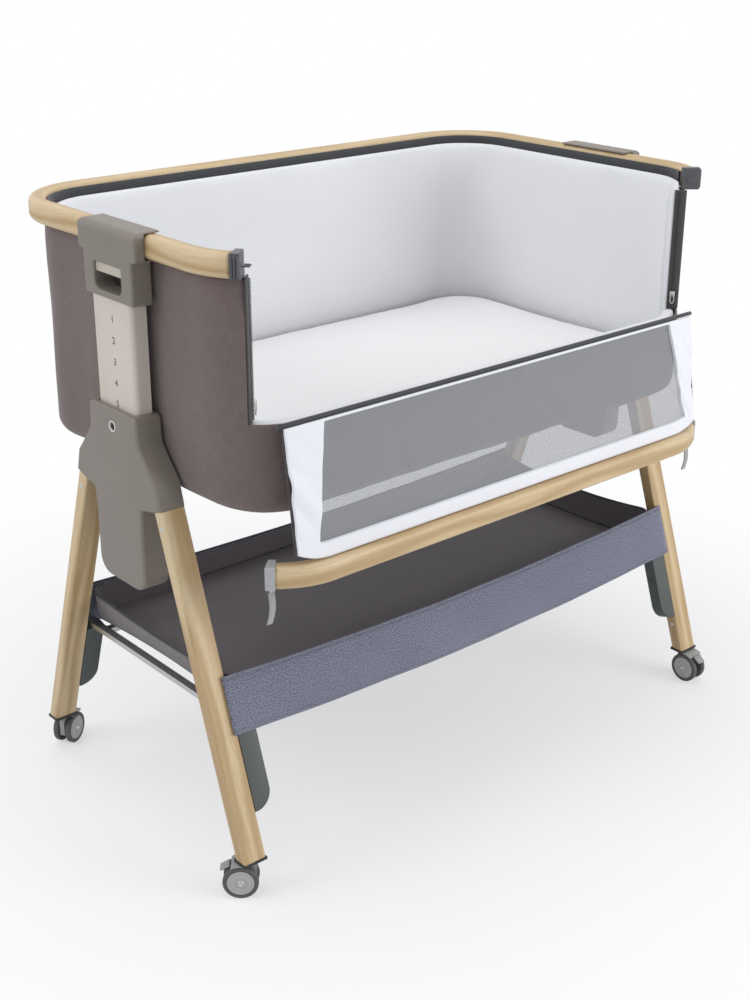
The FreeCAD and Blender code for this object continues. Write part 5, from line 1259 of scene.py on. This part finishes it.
def make_basket():
    """The shelf's cloth: long outer walls that sag between the legs, a lining tub, stitches and edges."""
    low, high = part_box("shelf_basket")
    rim, floor, skirt = high.z, low.z + 0.0145, low.z
    half_rim, half_floor, half_flap = 0.446, 0.434, 0.456

    def sag_at(x):
        return 0.013 * max(0.0, 1 - (x / half_flap) ** 2)

    def long_wall(end):
        xs = spread(-half_flap, half_flap, 120)
        zs = spread(skirt, rim, 14)

        def point(column, row):
            x, z = xs[column], zs[row]
            sag = sag_at(x)
            bow = 0.0045 * math.sin(math.pi * row / 14) * (1 - (x / half_flap) ** 6)
            fold = 0.0022 * noise.noise(Vector((x * 9, z * 12, end * 3.0))) * (1 - abs(x / half_flap) ** 8)
            y = wall_at(z - sag) + bow * 0.4 + fold
            return Vector((x, MID + end * (y + 0.0028), z - sag))

        wall = grid(f"basket_{ENDS[end]}", len(xs), len(zs), point, finish["basket"],
                    lambda column, row: (xs[column], zs[row]), flip=end == BACK_END)
        tidy(wall)
        lines = []
        for row, inset in ((14, 0.004), (14, 0.010), (0, -0.004)):
            line = []
            for column in range(len(xs)):
                spot = point(column, row)
                slope = end * LEG_SLOPE * inset
                line.append(spot + Vector((0, end * 0.0004 + slope, -inset)))
            lines.append(line)
        thicken(wall, 0.0024)
        return wall, lines, [point(column, 14) for column in range(len(xs))]

    front, front_lines, front_top = long_wall(FRONT_END)
    back, back_lines, back_top = long_wall(BACK_END)

    corner = 0.030
    stations = []
    for sx, sy, start in ((1, -1, -90), (1, 1, 0), (-1, 1, 90), (-1, -1, 180)):
        stations += [(sx, sy, start + 90 * step / 8) for step in range(9)]
    ring = []
    for index, station in enumerate(stations):
        ring.append((station, station, 0.0))
        following = stations[(index + 1) % len(stations)]
        if (station[0], station[1]) != (following[0], following[1]):
            steps = 40 if station[1] == following[1] else 24
            ring += [(station, following, step / steps) for step in range(1, steps)]
    drops = [0.0, 0.10, 0.25, 0.45, 0.65, 0.80, 0.90, 0.97, 1.0]
    insets = [0.0, 0.06, 0.16, 0.30, 0.50, 0.75]

    def tub(column, row):
        """A place on the lining: down its walls first, then in over its floor."""
        first, second, share = ring[column]
        on_wall = row < len(drops)
        depth = drops[row] if on_wall else 1.0
        z = rim - 0.004 + (floor + 0.004 - rim + 0.004) * depth
        half_x = half_rim - 0.002 + (half_floor - half_rim) * depth
        half_y = wall_at(z) - 0.0015
        spots = []
        for sx, sy, angle in (first, second):
            turn = math.radians(angle)
            spots.append(Vector((sx * (half_x - corner) + corner * math.cos(turn),
                                 sy * (half_y - corner) + corner * math.sin(turn))))
        spot = spots[0].lerp(spots[1], share)
        if abs(spot.x) > half_x - corner:
            pull = 1 - min(1.0, (abs(spot.y) / half_y) ** 2)
            spot.x -= math.copysign(0.012 * pull * (0.4 + 0.6 * depth), spot.x)
        if not on_wall:
            shrink = 1 - insets[row - len(drops) + 1]
            spot = Vector((spot.x * shrink, spot.y * shrink))
            z += 0.0018 * noise.noise(Vector((spot.x * 7, spot.y * 7, 2.2)))
        sag = sag_at(spot.x) * (1 - depth)
        spot.y *= wall_at(z - sag) / wall_at(z)
        z -= sag
        if abs(spot.x) > half_x - 0.04 and on_wall:
            z -= 0.012 * (1 - depth) * (1 - min(1.0, (abs(spot.y) / half_y) ** 2))
        wrinkle = 0
        if on_wall:
            wrinkle = 0.0016 * noise.noise(Vector((spot.x * 22, spot.y * 22, z * 30)))
            wrinkle *= 1 - abs(2 * depth - 1)
        return Vector((spot.x * (1 - wrinkle), MID + spot.y * (1 - wrinkle), z))

    rows = len(drops) + len(insets) - 1
    shell = grid("basket_tub", len(ring), rows, tub, finish["basket_inside"],
                 lambda column, row: (tub(column, row).x + tub(column, row).z, tub(column, row).y),
                 closed=True, flip=True)
    centre = [tub(column, rows - 1) for column in range(len(ring))]
    floor_cap = new_piece("basket_floor", centre, [tuple(range(len(centre)))], finish["basket_inside"],
                          [(spot.x, spot.y) for spot in centre])
    inner = joined("basket_inner", [shell, floor_cap])
    tidy(inner, 1e-5, True)
    thicken(inner, 0.0022, 0.0)
    whole = joined("shelf_basket_cloth", [front, back, inner])
    settle(whole, "shelf", "grey_melange", "shelf_basket")
    stitched = row_of("basket_stitches", front_lines + back_lines, finish["thread"],
                      Spacing=0.0046, Length=0.0034, Width=0.0008, Height=0.0006)
    settle(stitched, "shelf", "grey_melange")
    edges = []
    for end, line in ((FRONT_END, front_top), (BACK_END, back_top)):
        path = [spot + Vector((0, -end * 0.0012, 0.0004)) for spot in line]
        worn = finish["basket" if end == FRONT_END else "binding"]
        edges.append(rope(f"basket_edge_{ENDS[end]}", path, 0.0019, worn, 8))
    tops = [tub(column, 0) for column in range(len(ring))]
    for side in SIDES:
        ends = sorted((spot for spot in tops if spot.x * side > half_rim - 0.045), key=lambda spot: spot.y)
        edges.append(rope(f"basket_edge_{SIDES[side]}", ends, 0.0018, finish["binding"], 8))
        foot = [(spot.y, tub(column, len(drops) - 1)) for column, spot in enumerate(tops)
                if spot.x * side > half_rim - 0.030]
        foot = [spot + Vector((0, 0, 0.0016)) for _, spot in sorted(foot, key=lambda item: item[0])]
        edges.append(rope(f"basket_seam_{SIDES[side]}", foot, 0.0020, finish["binding"], 8))
    settle(joined("basket_edges", edges), "shelf", "dark_binding")


# ---------------------------------------------------------------- casters, numbers, screws

def make_wheels():
    """Twin wheels with a rounded tread, a stepped pale disc and a centre bolt on each face."""
    tread = [(0.0060, 0.0035), (0.0060, 0.0170), (0.0062, 0.0230), (0.0070, 0.0244), (0.0085, 0.0250),
             (0.0125, 0.0250), (0.0140, 0.0246), (0.0148, 0.0236), (0.0150, 0.0222), (0.0148, 0.0205),
             (0.0142, 0.0196), (0.0142, 0.0175)]
    disc = [(0.0140, 0.0190), (0.0151, 0.0182), (0.0154, 0.0166), (0.0147, 0.0158), (0.0147, 0.0128),
            (0.0155, 0.0118), (0.0158, 0.0098), (0.0150, 0.0090), (0.0150, 0.0062), (0.0158, 0.0054),
            (0.0158, 0.0036)]
    bolt = [(0.0150, 0.0042), (0.0164, 0.0042), (0.0169, 0.0036), (0.0169, 0.0022), (0.0160, 0.0019),
            (0.0160, 0.0)]
    axle = [(-0.0065, 0.0), (-0.0065, 0.0029), (0.0065, 0.0029), (0.0065, 0.0)]
    joints = {joint["child"]: joint for joint in frame["joints"] if joint["type"] == "hinge"}
    for name in [node for node in frame["nodes"] if node.endswith("_caster_wheels")]:
        joint = joints[name.replace("_wheels", "_roll")]
        centre, axis = Vector(joint["pos_m"]), Vector(joint["axis"]).normalized()
        parts = []
        for way in (1, -1):
            parts.append(lathe("tread", tread, centre, axis * way, finish["tread"], 56))
            parts.append(lathe("disc", disc, centre, axis * way, finish["hub"], 48))
            parts.append(lathe("bolt", bolt, centre, axis * way, finish["steel"], 24))
        parts.append(lathe("axle", axle, centre, axis, finish["steel"], 24))
        wheel = joined(name.replace("_caster_wheels", "_twin_wheels"), parts)
        settle(wheel, name.replace("_wheels", "_roll"), "caster_tread", name)


def make_numbers():
    """Plain figures 1 to 6 down each height tube, one to each height setting."""
    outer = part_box("right_height_tube")[1][0]
    top, apart = 0.763, 0.029
    for side in SIDES:
        parts = []
        for step in range(6):
            text = bpy.data.curves.new(f"figure_{SIDES[side]}_{step + 1}", "FONT")
            text.body, text.size, text.extrude = str(step + 1), 0.0135, 0.00015
            text.align_x, text.align_y = "CENTER", "CENTER"
            figure = placed(text.name, text)
            graph = bpy.context.evaluated_depsgraph_get()
            mesh = bpy.data.meshes.new_from_object(figure.evaluated_get(graph))
            bpy.data.objects.remove(figure)
            mesh.transform(Matrix(((0, 0, side, side * (outer + 0.0001)), (side, 0, 0, MID + side * 0.002),
                                   (0, 1, 0, top - apart * step), (0, 0, 0, 1))))
            mesh.materials.clear()
            mesh.materials.append(finish["ink"])
            parts.append(placed(text.name, mesh))
        settle(joined(f"{SIDES[side]}_figures", parts), "bassinet", "dark_plastic")


def make_screws():
    """Round-headed screws on the legs: low on their inner faces, and high on their outer faces."""
    profile = [(-0.001, 0.0), (-0.001, 0.0036), (0.0002, 0.0036), (0.0007, 0.0030), (0.0008, 0.0012),
               (0.0003, 0.0010), (0.0003, 0.0)]
    parts = []
    for side in SIDES:
        for end in ENDS:
            for height, face in ((0.100, -1), (0.500, 1)):
                place = (side * (LEG_X + face * 0.0182), MID + end * leg_reach(height), height)
                parts.append(lathe("screw", profile, place, (side * face, 0, 0), finish["steel"], 20))
    settle(joined("leg_screws", parts), "base", "steel")


# ---------------------------------------------------------------- studio

def make_studio():
    """A pale floor that fades to white, a white background and three soft lamps."""
    floor = Paint("studio_floor")
    spot = floor.place()
    grain = floor.noise(spot, 40.0, 2.0)
    shade = floor.blend(grain, (0.90, 0.905, 0.915), (0.92, 0.925, 0.935))
    matt = floor.node("ShaderNodeBsdfDiffuse", inputs={"Color": shade})
    clean = floor.node("ShaderNodeEmission", inputs={"Color": (1.0, 1.0, 1.0), "Strength": 1.0})
    x, y, _ = floor.parts(spot)
    far = (x * x + y * y).root()
    fade = floor.node("ShaderNodeMapRange", {"interpolation_type": "SMOOTHSTEP"},
                      {0: far, 1: 0.45, 2: 1.35, 3: 0.50, 4: 1.0})
    seen = floor.node("ShaderNodeLightPath", out=0)
    floor.node_out(floor.node("ShaderNodeMixShader", inputs=[fade * seen, matt, clean]))
    ground = new_piece("studio_ground", [(-8, -8, 0), (8, -8, 0), (8, 8, 0), (-8, 8, 0)], [(0, 1, 2, 3)],
                       floor.material)
    scene = bpy.context.scene
    world = bpy.data.worlds.new("studio")
    scene.world = world
    world.use_nodes = True
    nodes, link = world.node_tree.nodes, world.node_tree.links.new
    nodes.clear()
    rays = nodes.new("ShaderNodeLightPath")
    seen = nodes.new("ShaderNodeMath")
    seen.operation = "MAXIMUM"
    link(rays.outputs["Is Camera Ray"], seen.inputs[0])
    link(rays.outputs["Is Glossy Ray"], seen.inputs[1])
    soft, bright = nodes.new("ShaderNodeBackground"), nodes.new("ShaderNodeBackground")
    soft.inputs["Color"].default_value, soft.inputs["Strength"].default_value = (0.95, 0.97, 1.0, 1), 0.62
    bright.inputs["Color"].default_value, bright.inputs["Strength"].default_value = (1, 1, 1, 1), 1.0
    mix, out = nodes.new("ShaderNodeMixShader"), nodes.new("ShaderNodeOutputWorld")
    link(seen.outputs[0], mix.inputs[0])
    link(soft.outputs[0], mix.inputs[1])
    link(bright.outputs[0], mix.inputs[2])
    link(mix.outputs[0], out.inputs["Surface"])
    lamps = [("key", (-3.0, 0.8, 2.4), 1.8, 28.0), ("fill", (1.6, -3.0, 1.5), 2.3, 50.0),
             ("top", (-0.2, 0.4, 3.4), 2.6, 27.0)]
    for name, spot, width, power in lamps:
        lamp = bpy.data.lights.new(name, "AREA")
        lamp.shape, lamp.size, lamp.energy = "DISK", width, power
        holder = placed(name, lamp)
        holder.location = spot
        holder.rotation_euler = (Vector((0, 0, 0.45)) - Vector(spot)).to_track_quat("-Z", "Y").to_euler()


def make_camera():
    """The photo's camera: its focal length is given in the photo's pixels, 750 of them across."""
    azimuth, elevation, roll = math.radians(-40.91), math.radians(22.69), math.radians(0.18)
    focal, pixels, sensor = 1491.9, 750, 36.0
    level = math.cos(elevation)
    back = Vector((math.sin(azimuth) * level, -math.cos(azimuth) * level, math.sin(elevation)))
    right = (-back).cross(Vector((0, 0, 1))).normalized()
    up = right.cross(-back)
    turned_right = right * math.cos(roll) + up * math.sin(roll)
    turned_up = up * math.cos(roll) - right * math.sin(roll)
    lens = bpy.data.cameras.new("view")
    lens.sensor_fit, lens.sensor_width = "HORIZONTAL", sensor
    lens.lens = focal / pixels * sensor
    lens.clip_start, lens.clip_end = 0.05, 50.0
    camera = placed("view", lens)
    basis = Matrix((turned_right, turned_up, back)).transposed().to_4x4()
    camera.matrix_world = Matrix.Translation(Vector((-1.4469, -1.6493, 1.2933))) @ basis
    bpy.context.scene.camera = camera


# ---------------------------------------------------------------- the whole scene

make_camera()
make_studio()
make_rails()
make_fittings()
make_casings()
make_brackets()
make_rivets()
make_ribs()
make_cot_cloth()
make_liner()
make_rim_band()
make_mattress()
make_zips()
make_panel()
make_straps()
make_basket()
make_wheels()
make_numbers()
make_screws()
bpy.context.scene.view_settings.view_transform = "Standard"
